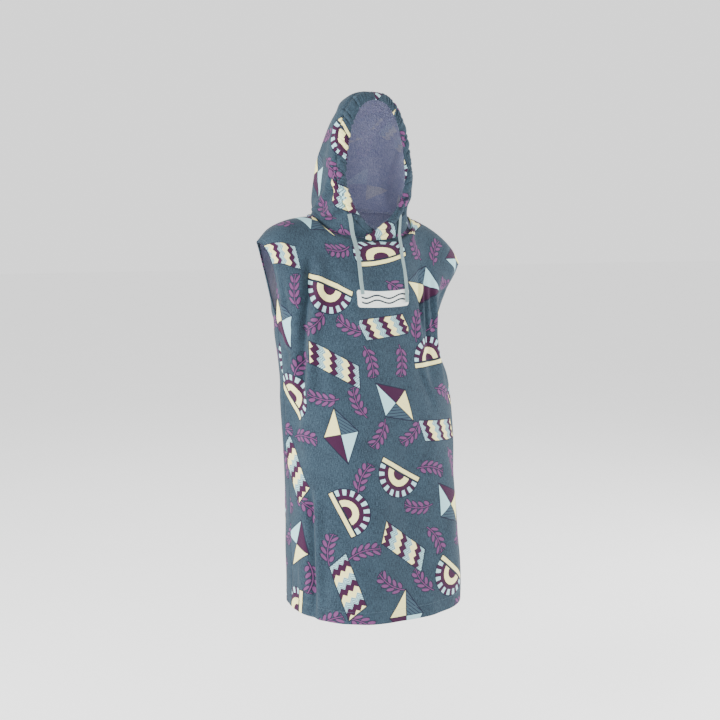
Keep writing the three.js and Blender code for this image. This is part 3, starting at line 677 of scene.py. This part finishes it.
def foot_angle(share):
    first = -math.asin(LAP["past"] / NECK["half_width"])
    return first + (math.radians(HOOD_LAST_FOOT) - first) * share


def hoop(share, side, count):
    row = {name: float(column(HOOPS, HOOP_COLUMNS, "share", name, share)) for name in HOOP_COLUMNS[1:]}
    t = np.linspace(0, 1, 900)
    if share >= 1:
        line = neckline(foot_angle(1) + (math.pi - foot_angle(1)) * t, 1)
    else:
        foot = neckline(foot_angle(share), 1)
        top = np.array([0, row["top_y"], row["top_z"]])
        middle = foot + (top - foot) * max(0, row["rise"])
        turn = np.minimum(t / HOOP_LOWER_PART, 1) * np.pi / 2
        rise = (1 - np.cos(turn)) * (1 - row["slant"]) + np.minimum(t / HOOP_LOWER_PART, 1) * row["slant"]
        lower = foot + (middle - foot) * rise[:, None]
        lower[:, 0] = foot[0] + (row["widest"] - foot[0]) * np.sin(turn) ** row["lower"]
        turn = np.maximum((t - HOOP_LOWER_PART) / (1 - HOOP_LOWER_PART), 0) * np.pi / 2
        upper = middle + (top - middle) * np.sin(turn)[:, None]
        upper[:, 0] = row["widest"] * np.maximum(0, np.cos(turn)) ** row["upper"]
        line = np.where((t < HOOP_LOWER_PART)[:, None], lower, upper)
    line = line * [side, 1, 1]
    return even(line, count + 1)


def gather(along, side):
    """Lobes with rounded tops and sharp valleys, uneven in width and height, from -1 to 1."""
    sway = 0.9 * np.sin(along * 21 + side) + 0.5 * np.sin(along * 53 + 2)
    phase = np.pi * (GATHERS["count"] * along + sway)
    tall = 0.8 + 0.25 * np.sin(along * 61 + 1.7 * side) + 0.15 * np.sin(along * 143)
    calm = np.minimum(1, np.minimum(9 * along, 9 * (1 - along)))
    return calm * tall * (2 * np.abs(np.sin(phase)) - 1.2)


def relaxed(points, flat, rounds):
    """Moves a grid's flat points until neighbours are as far apart as they are on the cloth."""
    flat = flat.copy()
    near, far, before = slice(None, -1), slice(1, None), slice(None)
    links = [
        ((near, before), (far, before)), ((before, near), (before, far)),
        ((near, near), (far, far)), ((near, far), (far, near)),
    ]
    rest = [np.linalg.norm(points[b] - points[a], axis=2)[..., None] for a, b in links]
    for _ in range(rounds):
        move, joined = np.zeros_like(flat), np.zeros((*flat.shape[:2], 1))
        for (a, b), length in zip(links, rest):
            apart = flat[b] - flat[a]
            pull = apart * (1 - length / np.maximum(np.linalg.norm(apart, axis=2)[..., None], 1e-6)) / 2
            move[a] += pull
            move[b] -= pull
            joined[a] += 1
            joined[b] += 1
        flat += 1.6 * move / joined
    return flat


def flat_pattern(points, flat):
    """The panel laid flat, first for a coarse grid and then for a finer one."""
    rows, columns = points.shape[:2]
    for tall, wide, rounds in PATTERN_PASSES:
        i = np.linspace(0, rows - 1, tall).round().astype(int)
        j = np.linspace(0, columns - 1, wide).round().astype(int)
        coarse = relaxed(points[np.ix_(i, j)], flat[np.ix_(i, j)], rounds)
        half_way = [[np.interp(np.arange(columns), j, row[:, n]) for row in coarse] for n in (0, 1)]
        half_way = np.stack(half_way, -1)
        lines = [[np.interp(np.arange(rows), i, half_way[:, k, n]) for k in range(columns)] for n in (0, 1)]
        flat = np.array(lines).transpose(2, 1, 0)
    return flat


def hood_half(side):
    band = np.linspace(0, CHANNEL["share"] - CHANNEL["seam_share"], HOOD_GRID["band"] + 1)
    panel = CHANNEL["share"] + (1 - CHANNEL["share"]) * np.linspace(0, 1, HOOD_GRID["panel"] + 1) ** 1.15
    shares = np.r_[band, panel]
    seam = len(band)
    count = HOOD_GRID["along"]
    points = np.array([hoop(s, side, count) for s in shares])
    normals = grid_normals(points, -side)
    normals[seam - 1] = normals[seam]
    for i, share in enumerate(shares):
        angle = foot_angle(share)
        normals[i, 0] = neck_out(angle, side, angle <= math.pi / 2)
        normals[i, -1, 0] = 0
    for j, t in enumerate(np.linspace(0, 1, count + 1)):
        normals[-1, j] = neck_out(foot_angle(1) + (math.pi - foot_angle(1)) * t, side, False)
    normals = unit(normals)
    near = 1 - ease(points[..., 0] * side, *LAP["x"])
    low = 1 - ease(points[..., 2], *LAP["z"])
    to_front = 1 - ease(points[..., 1], *LAP["y"])
    lap = side * LAP["clear"] * near * low * to_front
    # distances back from the seam of the channel, and along each hoop, give the cloth's own coordinates
    back = distances(points)
    back = back - back[seam]
    up = distances(points, axis=1)
    along = np.linspace(0, 1, count + 1)
    calm = 1 - near * low
    edge_calm = ease(up, 0, 12) * ease(up[:, -1:] - up, 0, 6)
    puckered = np.exp(-((back / GATHERS["reach"]) ** 2)) * calm * edge_calm
    height = GATHERS["pucker"] * gather(along, side)[None, :] * puckered
    for which, s0, t0, s1, t1, tall, width in HOOD_FOLDS:
        if which == side:
            x = (shares[:, None] - s0) * HOOD_SPAN[0]
            y = (along[None, :] - t0) * HOOD_SPAN[1]
            run = ((s1 - s0) * HOOD_SPAN[0], (t1 - t0) * HOOD_SPAN[1])
            height += crease(x, y, (0, 0), run, tall, width) * edge_calm * calm
    from_seam = up[:, -1:] - up
    height -= MIDDLE_SEAM["sunk"] * np.exp(-((from_seam / MIDDLE_SEAM["wide"]) ** 2)) * (back > 0)
    height -= CHANNEL["groove"] * np.exp(-((back / CHANNEL["groove_wide"]) ** 2)) * calm * edge_calm
    rear = 1 - ease(shares, 0.9, 1)
    height *= rear[:, None]
    moved = points + normals * (lap + height)[..., None]
    moved += neck_up(True) * (np.maximum(0, lap) * LAP["lift"])[..., None]
    for i, share in enumerate(shares):
        moved[i, 0] += neck_up(foot_angle(share) <= math.pi / 2) * SEAM_GAP / 2
    moved[-1, 1:] += neck_up(False) * SEAM_GAP / 2
    moved[..., 0] += side * SEAM_GAP / 2
    fresh = grid_normals(moved, -side)
    keep = np.zeros(normals.shape[:2])
    keep[:, 0] = keep[:, -1] = keep[-1] = 1
    keep[:, 1] = keep[:, -2] = keep[-2] = 0.6
    normals = unit(fresh * (1 - keep[..., None]) + normals * keep[..., None])
    normals[seam - 1] = normals[seam]
    pattern = flat_pattern(points[seam:], np.stack([back[seam:] * side, up[seam:]], -1))
    print("hood panel laid flat, mm:", np.ptp(pattern, axis=(0, 1)).round())
    pattern += [PATTERN_PLACE["across"] + PATTERN_PLACE["apart"] * side, PATTERN_PLACE["up"]]
    return {"points": moved, "normals": normals, "seam": seam, "pattern": pattern, "along": along}


def hood_cloth(name, half, side):
    rows, columns = slice(half["seam"], None), slice(0, None, HOOD_GRID["stride"])
    grid, normal = half["points"][rows, columns], half["normals"][rows, columns]
    index = np.arange(grid.shape[0] * grid.shape[1]).reshape(grid.shape[:2])
    uv = half["pattern"][:, columns].reshape(-1, 2)
    reach = np.full(index.size, CLOTH / 2)
    none = np.zeros(index.size, bool)
    # points run back from the opening and up each hoop, so the left half's quads are turned
    quads = grid_quads(index, side > 0)
    return cloth_shell(name, grid.reshape(-1, 3), normal.reshape(-1, 3), quads, uv, reach, reach, none, none)


def channel_cloth(name, half, side):
    """The turned front edge: a closed gathered tube round the hoops of the band."""
    band = half["seam"]
    grid, normal = half["points"][:band], half["normals"][:band]
    place = np.linspace(0, 1, band)
    puff = np.sin(np.pi * place) ** CHANNEL["fullness"]
    lobes = gather(half["along"], side)
    thick = CHANNEL["edge"] + puff[:, None] * (CHANNEL["puff"] + CHANNEL["depth"] * lobes[None, :])
    outer = grid + normal * thick[..., None]
    inner = grid - normal * np.minimum(thick, CLOTH)[..., None]
    # the free edge rolls round the cord, out past the first hoop
    first = unit(grid[0] - grid[1])
    rolled = grid[0] + first * (CHANNEL["roll"] + CHANNEL["roll_lobes"] * lobes)[:, None]
    roll_out = normal[0] * CHANNEL["roll_thick"]
    ring = np.array([*outer[::-1], rolled + roll_out, rolled - roll_out, *inner]).transpose(1, 0, 2)
    stations, around = ring.shape[:2]
    index = np.arange(stations * around).reshape(stations, around)
    faces = []
    for i in range(stations - 1):
        for j in range(around):
            k = (j + 1) % around
            quad = (index[i, j], index[i, k], index[i + 1, k], index[i + 1, j])
            faces.append(quad if side > 0 else quad[::-1])
    first_cap, last_cap = tuple(index[0]), tuple(index[-1])
    faces += [first_cap[::-1] if side > 0 else first_cap, last_cap if side > 0 else last_cap[::-1]]
    reach = distances(ring[0])
    # the print runs on from the panel's edge, round the fold
    edge_uv = half["pattern"][0]
    outward = unit(edge_uv - half["pattern"][EDGE_ROW])
    uv = edge_uv[:, None] + outward[:, None] * reach[None, :, None]
    piece = new_mesh(name, ring.reshape(-1, 3), faces, uv.reshape(-1, 2))
    mesh = bmesh.new()
    mesh.from_mesh(piece.data)
    volume = mesh.calc_volume(signed=True)
    if volume < 0:
        bmesh.ops.reverse_faces(mesh, faces=mesh.faces)
        mesh.to_mesh(piece.data)
    mesh.free()
    print(name, "gathered tube, cm3:", round(abs(volume) * 1e6, 1))
    return piece


hood = {}
for word, side in (("right", -1), ("left", 1)):
    half = hood_half(side)
    hood[word] = {
        "half": half,
        "cloth": hood_cloth("hood_cloth_" + word, half, side),
        "channel": channel_cloth("channel_cloth_" + word, half, side),
    }

# %% [markdown]
# Each shell replaces its plain CAD solid. A sheet also says how large it was cut: the panels are one width of
# towelling less the neck, and a hood panel laid flat is about half of the rectangle round it.

# %% What the shells replace, and their cut
CUTS = {
    "front_panel": (front_cloth, (0.67, 1.06), 0.66),
    "back_panel": (back_cloth, (0.67, 1.07), 0.68),
    "hood_right": (hood["right"]["cloth"], (0.36, 0.46), 0.10),
    "hood_left": (hood["left"]["cloth"], (0.36, 0.46), 0.10),
    "hood_channel_right": (hood["right"]["channel"], (0.042, 0.44), 0.0175),
    "hood_channel_left": (hood["left"]["channel"], (0.042, 0.44), 0.0175),
}
for node, (piece, _, area) in CUTS.items():
    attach(piece, "root")
    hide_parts(node)
    measured = sum(p.area for p in piece.data.polygons) / 2
    print(node, "one side measures", round(measured, 3), "m2, cut", area)

# %% [markdown]
# The sewn lines are rows of real stitches: one drawn-out bead, repeated along a line on the cloth with an
# array and a curve modifier, which are then applied.

# %% Rows of stitches
STITCH = {"long": 2.6, "pitch": 3.6, "thread": 0.85}


def stitch_row(name, line):
    """A row of stitches along a line of points in millimetres."""
    bpy.ops.object.select_all(action="DESELECT")
    points, length = through([tuple(p) for p in line], max(8, len(line)))
    curve = bpy.data.curves.new(name + "_line", "CURVE")
    curve.dimensions = "3D"
    spline = curve.splines.new("POLY")
    spline.points.add(len(points) - 1)
    for k, p in enumerate(points):
        spline.points[k].co = (*(p * MM), 1)
    guide = bpy.data.objects.new(name + "_line", curve)
    bpy.context.scene.collection.objects.link(guide)
    bpy.ops.mesh.primitive_uv_sphere_add(segments=8, ring_count=5, radius=STITCH["thread"] / 2 * MM)
    bead = bpy.context.object
    bead.name = name
    bpy.ops.object.mode_set(mode="EDIT")
    bpy.ops.mesh.select_all(action="SELECT")
    bpy.ops.transform.rotate(value=math.pi / 2, orient_axis="Y", center_override=(0, 0, 0))
    bpy.ops.transform.resize(value=(STITCH["long"] / STITCH["thread"], 1, 0.8))
    bpy.ops.object.mode_set(mode="OBJECT")
    row = bead.modifiers.new("row", "ARRAY")
    row.fit_type = "FIXED_COUNT"
    row.count = int(length / STITCH["pitch"])
    row.use_relative_offset = False
    row.use_constant_offset = True
    row.constant_offset_displace = (STITCH["pitch"] * MM, 0, 0)
    bend = bead.modifiers.new("bend", "CURVE")
    bend.object = guide
    bpy.ops.object.modifier_apply(modifier="row")
    bpy.ops.object.modifier_apply(modifier="bend")
    bpy.ops.object.shade_smooth()
    bpy.data.objects.remove(guide)
    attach(bead, "root")
    return bead


def hem_line(panel):
    """The line on the cloth at the height of the hem's stitches."""
    skin = panel["skin"]
    up = skin[..., 2] - skin[0:1, :, 2]
    row = int(np.argmin(np.abs(up[:, up.shape[1] // 2] - HEM["tall"])))
    return skin[row]


def arm_line(panel, end):
    columns = panel["skin"].shape[1]
    inset = int(round(ARM_HEM / (2 * FLAT_HALF_WIDTH) * (columns - 1)))
    j = inset if end == 0 else columns - 1 - inset
    return panel["skin"][panel["underarm"] + 1 : -2, j]


stitches = {"front_panel": [], "back_panel": [], "hood_right": [], "hood_left": []}
for node, is_front in (("front_panel", True), ("back_panel", False)):
    panel = body[is_front]
    stitches[node].append(stitch_row(node.replace("panel", "hem_stitches"), hem_line(panel)))
    for word, end in (("right", 0), ("left", -1)):
        row_name = node.replace("panel", "armhole_stitches_" + word)
        stitches[node].append(stitch_row(row_name, arm_line(panel, end)))
for word in ("right", "left"):
    half = hood[word]["half"]
    k = half["seam"] + 1
    line = half["points"][k] + half["normals"][k] * (CLOTH / 2)
    stitches["hood_" + word].append(stitch_row("channel_stitches_" + word, line[2:-2:2]))
print("rows of stitches:", sum(len(rows) for rows in stitches.values()))

# %% [markdown]
# Shader maths reads best as plain expressions. `Wire` wraps a node's output, so that `a * b + 1` builds the
# nodes, and `Shader.node` adds any other node from its type, its settings and what goes into it.

# %% Shader maths as expressions
OPERATIONS = {
    "__add__": "ADD", "__sub__": "SUBTRACT", "__mul__": "MULTIPLY", "__truediv__": "DIVIDE",
    "__mod__": "FLOORED_MODULO", "__gt__": "GREATER_THAN", "__lt__": "LESS_THAN", "__abs__": "ABSOLUTE",
    "floor": "FLOOR", "sin": "SINE", "cos": "COSINE", "sqrt": "SQRT", "atan2": "ARCTAN2",
    "at_least": "MAXIMUM", "at_most": "MINIMUM",
}
SWAPPED_OPERATIONS = {"__radd__": "ADD", "__rsub__": "SUBTRACT", "__rmul__": "MULTIPLY"}


class Wire:
    """A node's output, which can stand in an expression."""

    def __init__(self, shader, socket):
        self.shader, self.socket = shader, socket

    def clamp(self):
        return self.shader.math("ADD", self, 0, clamp=True)


def give_wire(name, operation, swapped=False):
    """Gives `Wire` a method that adds one maths node."""
    def method(self, *others):
        values = (*others, self) if swapped else (self, *others)
        return self.shader.math(operation, *values)

    setattr(Wire, name, method)


for method_name, operation in OPERATIONS.items():
    give_wire(method_name, operation)
for method_name, operation in SWAPPED_OPERATIONS.items():
    give_wire(method_name, operation, swapped=True)


class Shader:
    """One material's nodes."""

    def __init__(self, name):
        self.material = bpy.data.materials.new(name)
        self.material.use_nodes = True
        self.tree = self.material.node_tree
        self.principled = self.tree.nodes["Principled BSDF"]

    def connect(self, socket, value):
        if isinstance(value, Wire):
            self.tree.links.new(value.socket, socket)
        elif isinstance(value, (tuple, list)) and socket.type == "RGBA" and len(value) == 3:
            socket.default_value = (*value, 1)
        else:
            socket.default_value = value

    def node(self, kind, settings=None, inputs=None, output=0):
        made = self.tree.nodes.new(kind)
        for key, value in (settings or {}).items():
            setattr(made, key, value)
        for key, value in (inputs or {}).items():
            self.connect(made.inputs[key], value)
        return Wire(self, made.outputs[output])

    def math(self, operation, *values, clamp=False):
        settings = {"operation": operation, "use_clamp": clamp}
        return self.node("ShaderNodeMath", settings, dict(enumerate(values)))

    def mix(self, share, below, above):
        return self.node("ShaderNodeMix", {"data_type": "RGBA"}, {0: share, 6: below, 7: above}, output=2)

    def set(self, name, value):
        self.connect(self.principled.inputs[name], value)

    def parts(self, kind, value):
        """The parts of a vector or a colour, each as a wire."""
        made = self.node(kind, None, {0: value}).socket.node
        return [Wire(self, socket) for socket in made.outputs]

    def cloth_place(self):
        """The cloth's own UV, and its two parts in millimetres."""
        uv = self.node("ShaderNodeUVMap", {"uv_map": "cloth"})
        u, v, _ = self.parts("ShaderNodeSeparateXYZ", uv)
        return uv, u * 1000, v * 1000

    def bump(self, height, distance, strength):
        inputs = {"Height": height, "Distance": distance, "Strength": strength}
        return self.node("ShaderNodeBump", None, inputs)

    def noise(self, vector, scale, detail, rough, output=0):
        """Output 1 is a colour, whose three parts vary apart from each other."""
        inputs = {"Vector": vector, "Scale": scale, "Detail": detail, "Roughness": rough}
        return self.node("ShaderNodeTexNoise", None, inputs, output)


def srgb(r, g, b):
    """A colour given as on a screen, 0 to 255, turned to the linear values that the nodes use."""
    return tuple((c / 255 / 12.92) if c <= 10 else ((c / 255 + 0.055) / 1.055) ** 2.4 for c in (r, g, b))


print("a mid grey is", [round(c, 3) for c in srgb(128, 128, 128)])

# %% [markdown]
# The print repeats in half-drop, as on a printing screen: each column of motifs is half a step lower than the
# one beside it. Kites, half discs and slanting zigzag blocks take turns, each turned by its place, and leafy
# sprigs fill the gaps. It is worked out on the cloth's own UV, in millimetres, so it follows the folds.

# %% The printed towelling
INK = {
    "ground": srgb(52, 70, 82), "ground_dark": srgb(24, 34, 43), "cream": srgb(226, 219, 150),
    "plum": srgb(52, 16, 44), "aqua": srgb(150, 192, 198), "mauve": srgb(99, 56, 95),
    "line": srgb(22, 24, 40), "badge": srgb(214, 218, 214),
}
# The body's lining colours are painted paler than the hood's: painted light for the dim insides of the body.
LINING = {
    "hood": (srgb(128, 131, 168), srgb(180, 183, 210)),
    "body": (srgb(196, 197, 222), srgb(234, 234, 244)),
}
REPEAT = {"wide": 150.0, "tall": 188.0, "motif": 1.34, "sprig": 1.12}
SPRIGS_AT = ((46.0, 94.0), (103.0, 4.0))
BADGE = {"u": 0.0, "v": 826.0, "half_wide": 77.0, "half_tall": 22.0, "corner": 8.0}
STRIPES = {"apart": 6.5, "half_thick": 2.2, "wave": 4.5, "wave_long": 11, "inset": 12, "half_tall": 17}
EDGE_LINES = {"sprig": 1.5, "motif": 1.9}
LINING_TURNS = {"u": 1200, "v": 850, "over": 100}


def edge(distance, soft=0.7):
    """1 inside a shape and 0 outside it, from the distance to its outline."""
    return (0.5 - distance / soft).clamp()


def in_repeat(u, v):
    """Coordinates from the middle of the nearest motif, and its column and row numbers."""
    i = (u / REPEAT["wide"] + 0.5).floor()
    lowered = v - (i % 2) * (REPEAT["tall"] / 2)
    j = (lowered / REPEAT["tall"] + 0.5).floor()
    return u - i * REPEAT["wide"], lowered - j * REPEAT["tall"], i, j


def turned(x, y, angle):
    c, s = angle.cos(), angle.sin()
    return x * c + y * s, y * c - x * s


def sprig_at(x, y):
    """Distance to a sprig: a stem with paired leaves on both sides."""
    bend = x - y * y * 0.006
    side = abs(bend)
    leaf_y = ((y + 33) % 15.5) - 7.5
    reach = (1 - y * y / 1500).at_least(0)
    lx = (side - 8.5) * 0.8 + (leaf_y - 1) * -0.6
    ly = (side - 8.5) * 0.6 + (leaf_y - 1) * 0.8
    ellipse = (lx * lx / 14 + ly * ly / 80 * (1.2 - 0.2 * reach)).sqrt()
    leaf = ((ellipse - 1) * 4).at_least(abs(y) - 32)
    stem = (side - 1.1).at_least(abs(y + 4) - 37)
    return leaf.at_most(stem)


def kite_at(shader, x, y):
    """Distance to a kite and its colour: four quarters, one of them hatched."""
    distance = (abs(x) * 0.826 + y * 0.562 - 32.6).at_least(abs(x) * 0.846 - y * 0.533 - 24.5)
    right, above = x > 0, y > 8
    hatch = edge(abs((y + x * 0.9) % 7.5 - 3.75) - 0.8)
    high = shader.mix(right, INK["cream"], shader.mix(hatch, INK["ground"], INK["line"]))
    ink = shader.mix(above, shader.mix(right, INK["plum"], INK["aqua"]), high)
    cross = edge((abs(x) - 0.7).at_most(abs(y - 8) - 0.7))
    return distance, shader.mix(cross, ink, INK["line"])


def disc_at(shader, x, y):
    """Distance to a half disc on a bar and its colour: rings, with rays in the last one."""
    radius, turn = (x * x + y * y).sqrt(), y.atan2(x)
    distance = (radius - 45).at_least(0 - y).at_most((abs(x) - 45).at_least(abs(y + 8) - 4))
    ink = shader.mix(radius > 13, INK["plum"], INK["cream"])
    ink = shader.mix(radius > 25, ink, INK["plum"])
    ink = shader.mix((radius > 34) * ((turn * 17).sin() > 0), ink, INK["aqua"])
    return distance, shader.mix(y < -2, ink, INK["cream"])


def block_at(shader, x, y):
    """Distance to a slanting block and its colour: zigzag bands, one of them dashed."""
    slant = x - y * 0.42
    distance = (abs(slant) - 21).at_least(abs(y) - 48)
    zigzag = y + abs((slant % 14) - 7) * 0.9
    band = (zigzag / 12).floor() % 3
    ink = shader.mix(band > 0.5, INK["plum"], INK["cream"])
    dashes = edge(abs(zigzag % 4 - 2) - 0.6)
    return distance, shader.mix(band > 1.5, ink, shader.mix(dashes, INK["aqua"], INK["line"]))


def printed(shader, u, v, weave):
    """The printed colour at a place on the cloth, from the ground up."""
    colour = shader.mix(weave, INK["ground_dark"], INK["ground"])
    for number, (across, up) in enumerate(SPRIGS_AT):
        x, y, i, j = in_repeat(u - across, v - up)
        angle = i * 1.9 + j * 0.8 + 0.6 + number * 2.2
        sprig = sprig_at(*turned(x / REPEAT["sprig"], y / REPEAT["sprig"], angle))
        # every third sprig of the second set is left out
        if number:
            sprig = sprig + ((i + j) % 3 < 0.5) * 99
        colour = shader.mix(edge(sprig - EDGE_LINES["sprig"]), colour, INK["line"])
        colour = shader.mix(edge(sprig), colour, INK["mauve"])
    x, y, i, j = in_repeat(u, v)
    x, y = turned(x / REPEAT["motif"], y / REPEAT["motif"], i * 2.4 + j * 1.3)
    which = (i + j * 2) % 3
    is_disc, is_block = which > 0.5, which > 1.5
    kite, kite_ink = kite_at(shader, x, y)
    disc, disc_ink = disc_at(shader, x, y)
    block, block_ink = block_at(shader, x, y)
    shape = kite + is_disc * (disc - kite) + is_block * (block - disc)
    ink = shader.mix(is_block, shader.mix(is_disc, kite_ink, disc_ink), block_ink)
    colour = shader.mix(edge(shape - EDGE_LINES["motif"]), colour, INK["line"])
    return shader.mix(edge(shape), colour, ink)


def with_badge(shader, u, v, colour):
    """A plain pale panel with round corners and two wave stripes."""
    bu, bv = abs(u - BADGE["u"]), abs(v - BADGE["v"])
    dx = (bu - (BADGE["half_wide"] - BADGE["corner"])).at_least(0)
    dy = (bv - (BADGE["half_tall"] - BADGE["corner"])).at_least(0)
    badge = (dx * dx + dy * dy).sqrt() - BADGE["corner"]
    wave = abs(v - BADGE["v"] + ((u - BADGE["u"]) / STRIPES["wave_long"]).sin() * STRIPES["wave"])
    stripes = edge(abs(wave - STRIPES["apart"]) - STRIPES["half_thick"])
    stripes = stripes * edge(bu - (BADGE["half_wide"] - STRIPES["inset"])) * edge(bv - STRIPES["half_tall"])
    colour = shader.mix(edge(badge), colour, INK["badge"])
    return shader.mix(stripes, colour, INK["ground_dark"])


def terry(shader, uv, u, v, weave, colour):
    """Looped cloth, where the print shows through a little. Gives its colour and the height of its loops."""
    past_u = ((u - LINING_TURNS["u"]) / LINING_TURNS["over"]).clamp()
    past_v = ((v - LINING_TURNS["v"]) / LINING_TURNS["over"]).clamp()
    # the body's lining is painted paler than the hood's, as painted light for the dim insides of the body,
    # and the neck has the hood's tone
    painted_light_share = (1 - past_u) * (1 - past_v)
    low, high = (shader.mix(painted_light_share, LINING["hood"][k], LINING["body"][k]) for k in (0, 1))
    colour = shader.mix(weave, shader.mix(0.16, low, colour), shader.mix(0.12, high, colour))
    scale = {"Vector": uv, "Scale": 560.0, "Randomness": 0.8}
    loops = shader.node("ShaderNodeTexVoronoi", {"feature": "F1"}, scale)
    shade = shader.mix(0.55, colour, srgb(52, 56, 86))
    return shader.mix((loops * 1.1).clamp(), colour, shade), 1 - loops


def towelling(name, inside):
    """Velour outside, with the print. Looped terry inside."""
    shader = Shader(name)
    uv, u, v = shader.cloth_place()
    fuzz_u, fuzz_v, _ = shader.parts("ShaderNodeSeparateColor", shader.noise(uv, 900, 2, 0.6, output=1))
    u, v = u + (fuzz_u - 0.5) * 1.6, v + (fuzz_v - 0.5) * 1.6
    streak_at = shader.node("ShaderNodeCombineXYZ", None, {0: u / 1.9, 1: v / 12, 2: 0.0})
    streak = shader.noise(streak_at, 1.0, 3, 0.6)
    patch = shader.noise(uv, 16, 2, 0.5)
    grain = shader.noise(uv, 330, 2, 0.75)
    weave = ((grain - 0.5) * 1.8 + (streak - 0.5) * 1.9 + (patch - 0.5) * 0.6 + 0.5).clamp()
    colour = printed(shader, u, v, weave)
    if inside:
        colour, height = terry(shader, uv, u, v, weave, colour)
        distance = 0.0011
    else:
        colour = with_badge(shader, u, v, colour)
        pile = shader.noise(uv, 1300, 3, 0.7)
        # painted shade: where the pile is low, as in its bump, the colour is darkened a fifth, with a random
        # tone from the grain as well
        lit_pile = ((pile * 0.5 + grain * 0.5 - 0.36) * 3.6).clamp()
        colour = shader.mix(lit_pile, shader.mix(0.2, colour, srgb(34, 40, 54)), colour)
        height = pile + streak * 0.5
        distance = 0.0007
    shader.set("Base Color", colour)
    shader.set("Roughness", 0.92)
    shader.set("Specular IOR Level", 0.15)
    shader.set("Sheen Weight", 0.05)
    shader.set("Sheen Roughness", 0.5)
    shader.set("Sheen Tint", (0.8, 0.86, 0.9, 1))
    shader.set("Normal", shader.bump(height, distance, 0.8))
    return shader.material


outer_material = towelling("velour_print", False)
inner_material = towelling("terry_loops", True)
for piece, _, _ in CUTS.values():
    piece.data.materials.append(outer_material)
    piece.data.materials.append(inner_material)

# %% [markdown]
# The braid is a flat tube of crossing yarns, which show as a fine herringbone along its length. The stitches
# are of matt cotton thread, a little darker than the ground.

# %% Braid and thread
def braid_material():
    shader = Shader("flat_braid")
    uv, x, y = shader.cloth_place()
    rib = abs((x % 3) - 1.5) * 1.4
    yarn = abs((y + rib) % 1.9 - 0.95) / 0.95
    groove = abs((x % 3) - 1.5) / 1.5
    height = (1 - yarn * yarn) * 0.6 + (1 - groove * groove * groove) * 0.4
    # painted shade: the colour follows the yarns' height, darker in the grooves and paler on the crowns, with
    # a random tone on top
    tone = (height * 0.8 + (shader.noise(uv, 500, 2, 0.5) - 0.5) * 0.5).clamp()
    shader.set("Base Color", shader.mix(tone, srgb(78, 96, 98), srgb(128, 150, 150)))
    shader.set("Roughness", 0.85)
    shader.set("Specular IOR Level", 0.2)
    shader.set("Sheen Weight", 0.2)
    shader.set("Normal", shader.bump(height, 0.0006, 0.9))
    return shader.material


def thread_material():
    shader = Shader("thread")
    place = shader.node("ShaderNodeTexCoord", output=3)
    tone = shader.noise(place, 800, 1, 0.5)
    shader.set("Base Color", shader.mix(tone, srgb(52, 70, 84), srgb(86, 108, 122)))
    shader.set("Roughness", 0.7)
    shader.set("Normal", shader.bump(tone, 0.0002, 0.5))
    return shader.material


cord_material, sewing_material = braid_material(), thread_material()
for piece in (braid_right, braid_left):
    piece.data.materials.append(cord_material)
for rows in stitches.values():
    for piece in rows:
        piece.data.materials.append(sewing_material)
print("materials:", [m.name for m in bpy.data.materials])

# %% [markdown]
# A plain pale floor well below the hem, where the wearer's feet would be. Two large soft boxes stand at the
# sides, so that they graze the cloth and show its folds, with a weak fill in front and a rim light behind.
# The room itself gives the rest of the light.

# %% Floor and light
FLOOR_Z = -1.45
AIM = np.array([0, 0, -0.35])
ROOM_LIGHT = 1.5
bpy.ops.mesh.primitive_plane_add(size=60, location=(0, 0, FLOOR_Z))
floor = bpy.context.object
floor.name = "floor"
pale = Shader("pale_floor")
place = pale.node("ShaderNodeTexCoord", output=3)
pale.set("Base Color", pale.mix(pale.noise(place, 2.0, 2, 0.5), (0.93, 0.93, 0.93), (0.96, 0.96, 0.96)))
pale.set("Roughness", 0.9)
floor.data.materials.append(pale.material)


def area_light(name, place, size, power):
    light = bpy.data.lights.new(name, "AREA")
    light.shape = "DISK"
    light.size, light.energy = size, power
    lamp = bpy.data.objects.new(name, light)
    bpy.context.scene.collection.objects.link(lamp)
    lamp.location = place
    toward = AIM - np.array(place)
    lean = math.acos(-toward[2] / np.linalg.norm(toward))
    lamp.rotation_euler = (lean, 0, math.atan2(-toward[0], toward[1]))


area_light("left box", (-3.9, -0.8, 0.3), 1.6, 330)
area_light("right box", (3.7, -1.3, 0.3), 1.6, 270)
area_light("front fill", (-2.0, -4.4, 0.2), 2.2, 70)
area_light("rim", (0.6, 3.0, 2.4), 2.0, 40)
world = bpy.data.worlds.new("white room")
world.use_nodes = True
world.node_tree.nodes["Background"].inputs[0].default_value = (1, 1, 1, 1)
world.node_tree.nodes["Background"].inputs[1].default_value = ROOM_LIGHT
bpy.context.scene.world = world
print("lamps:", len(bpy.data.lights))
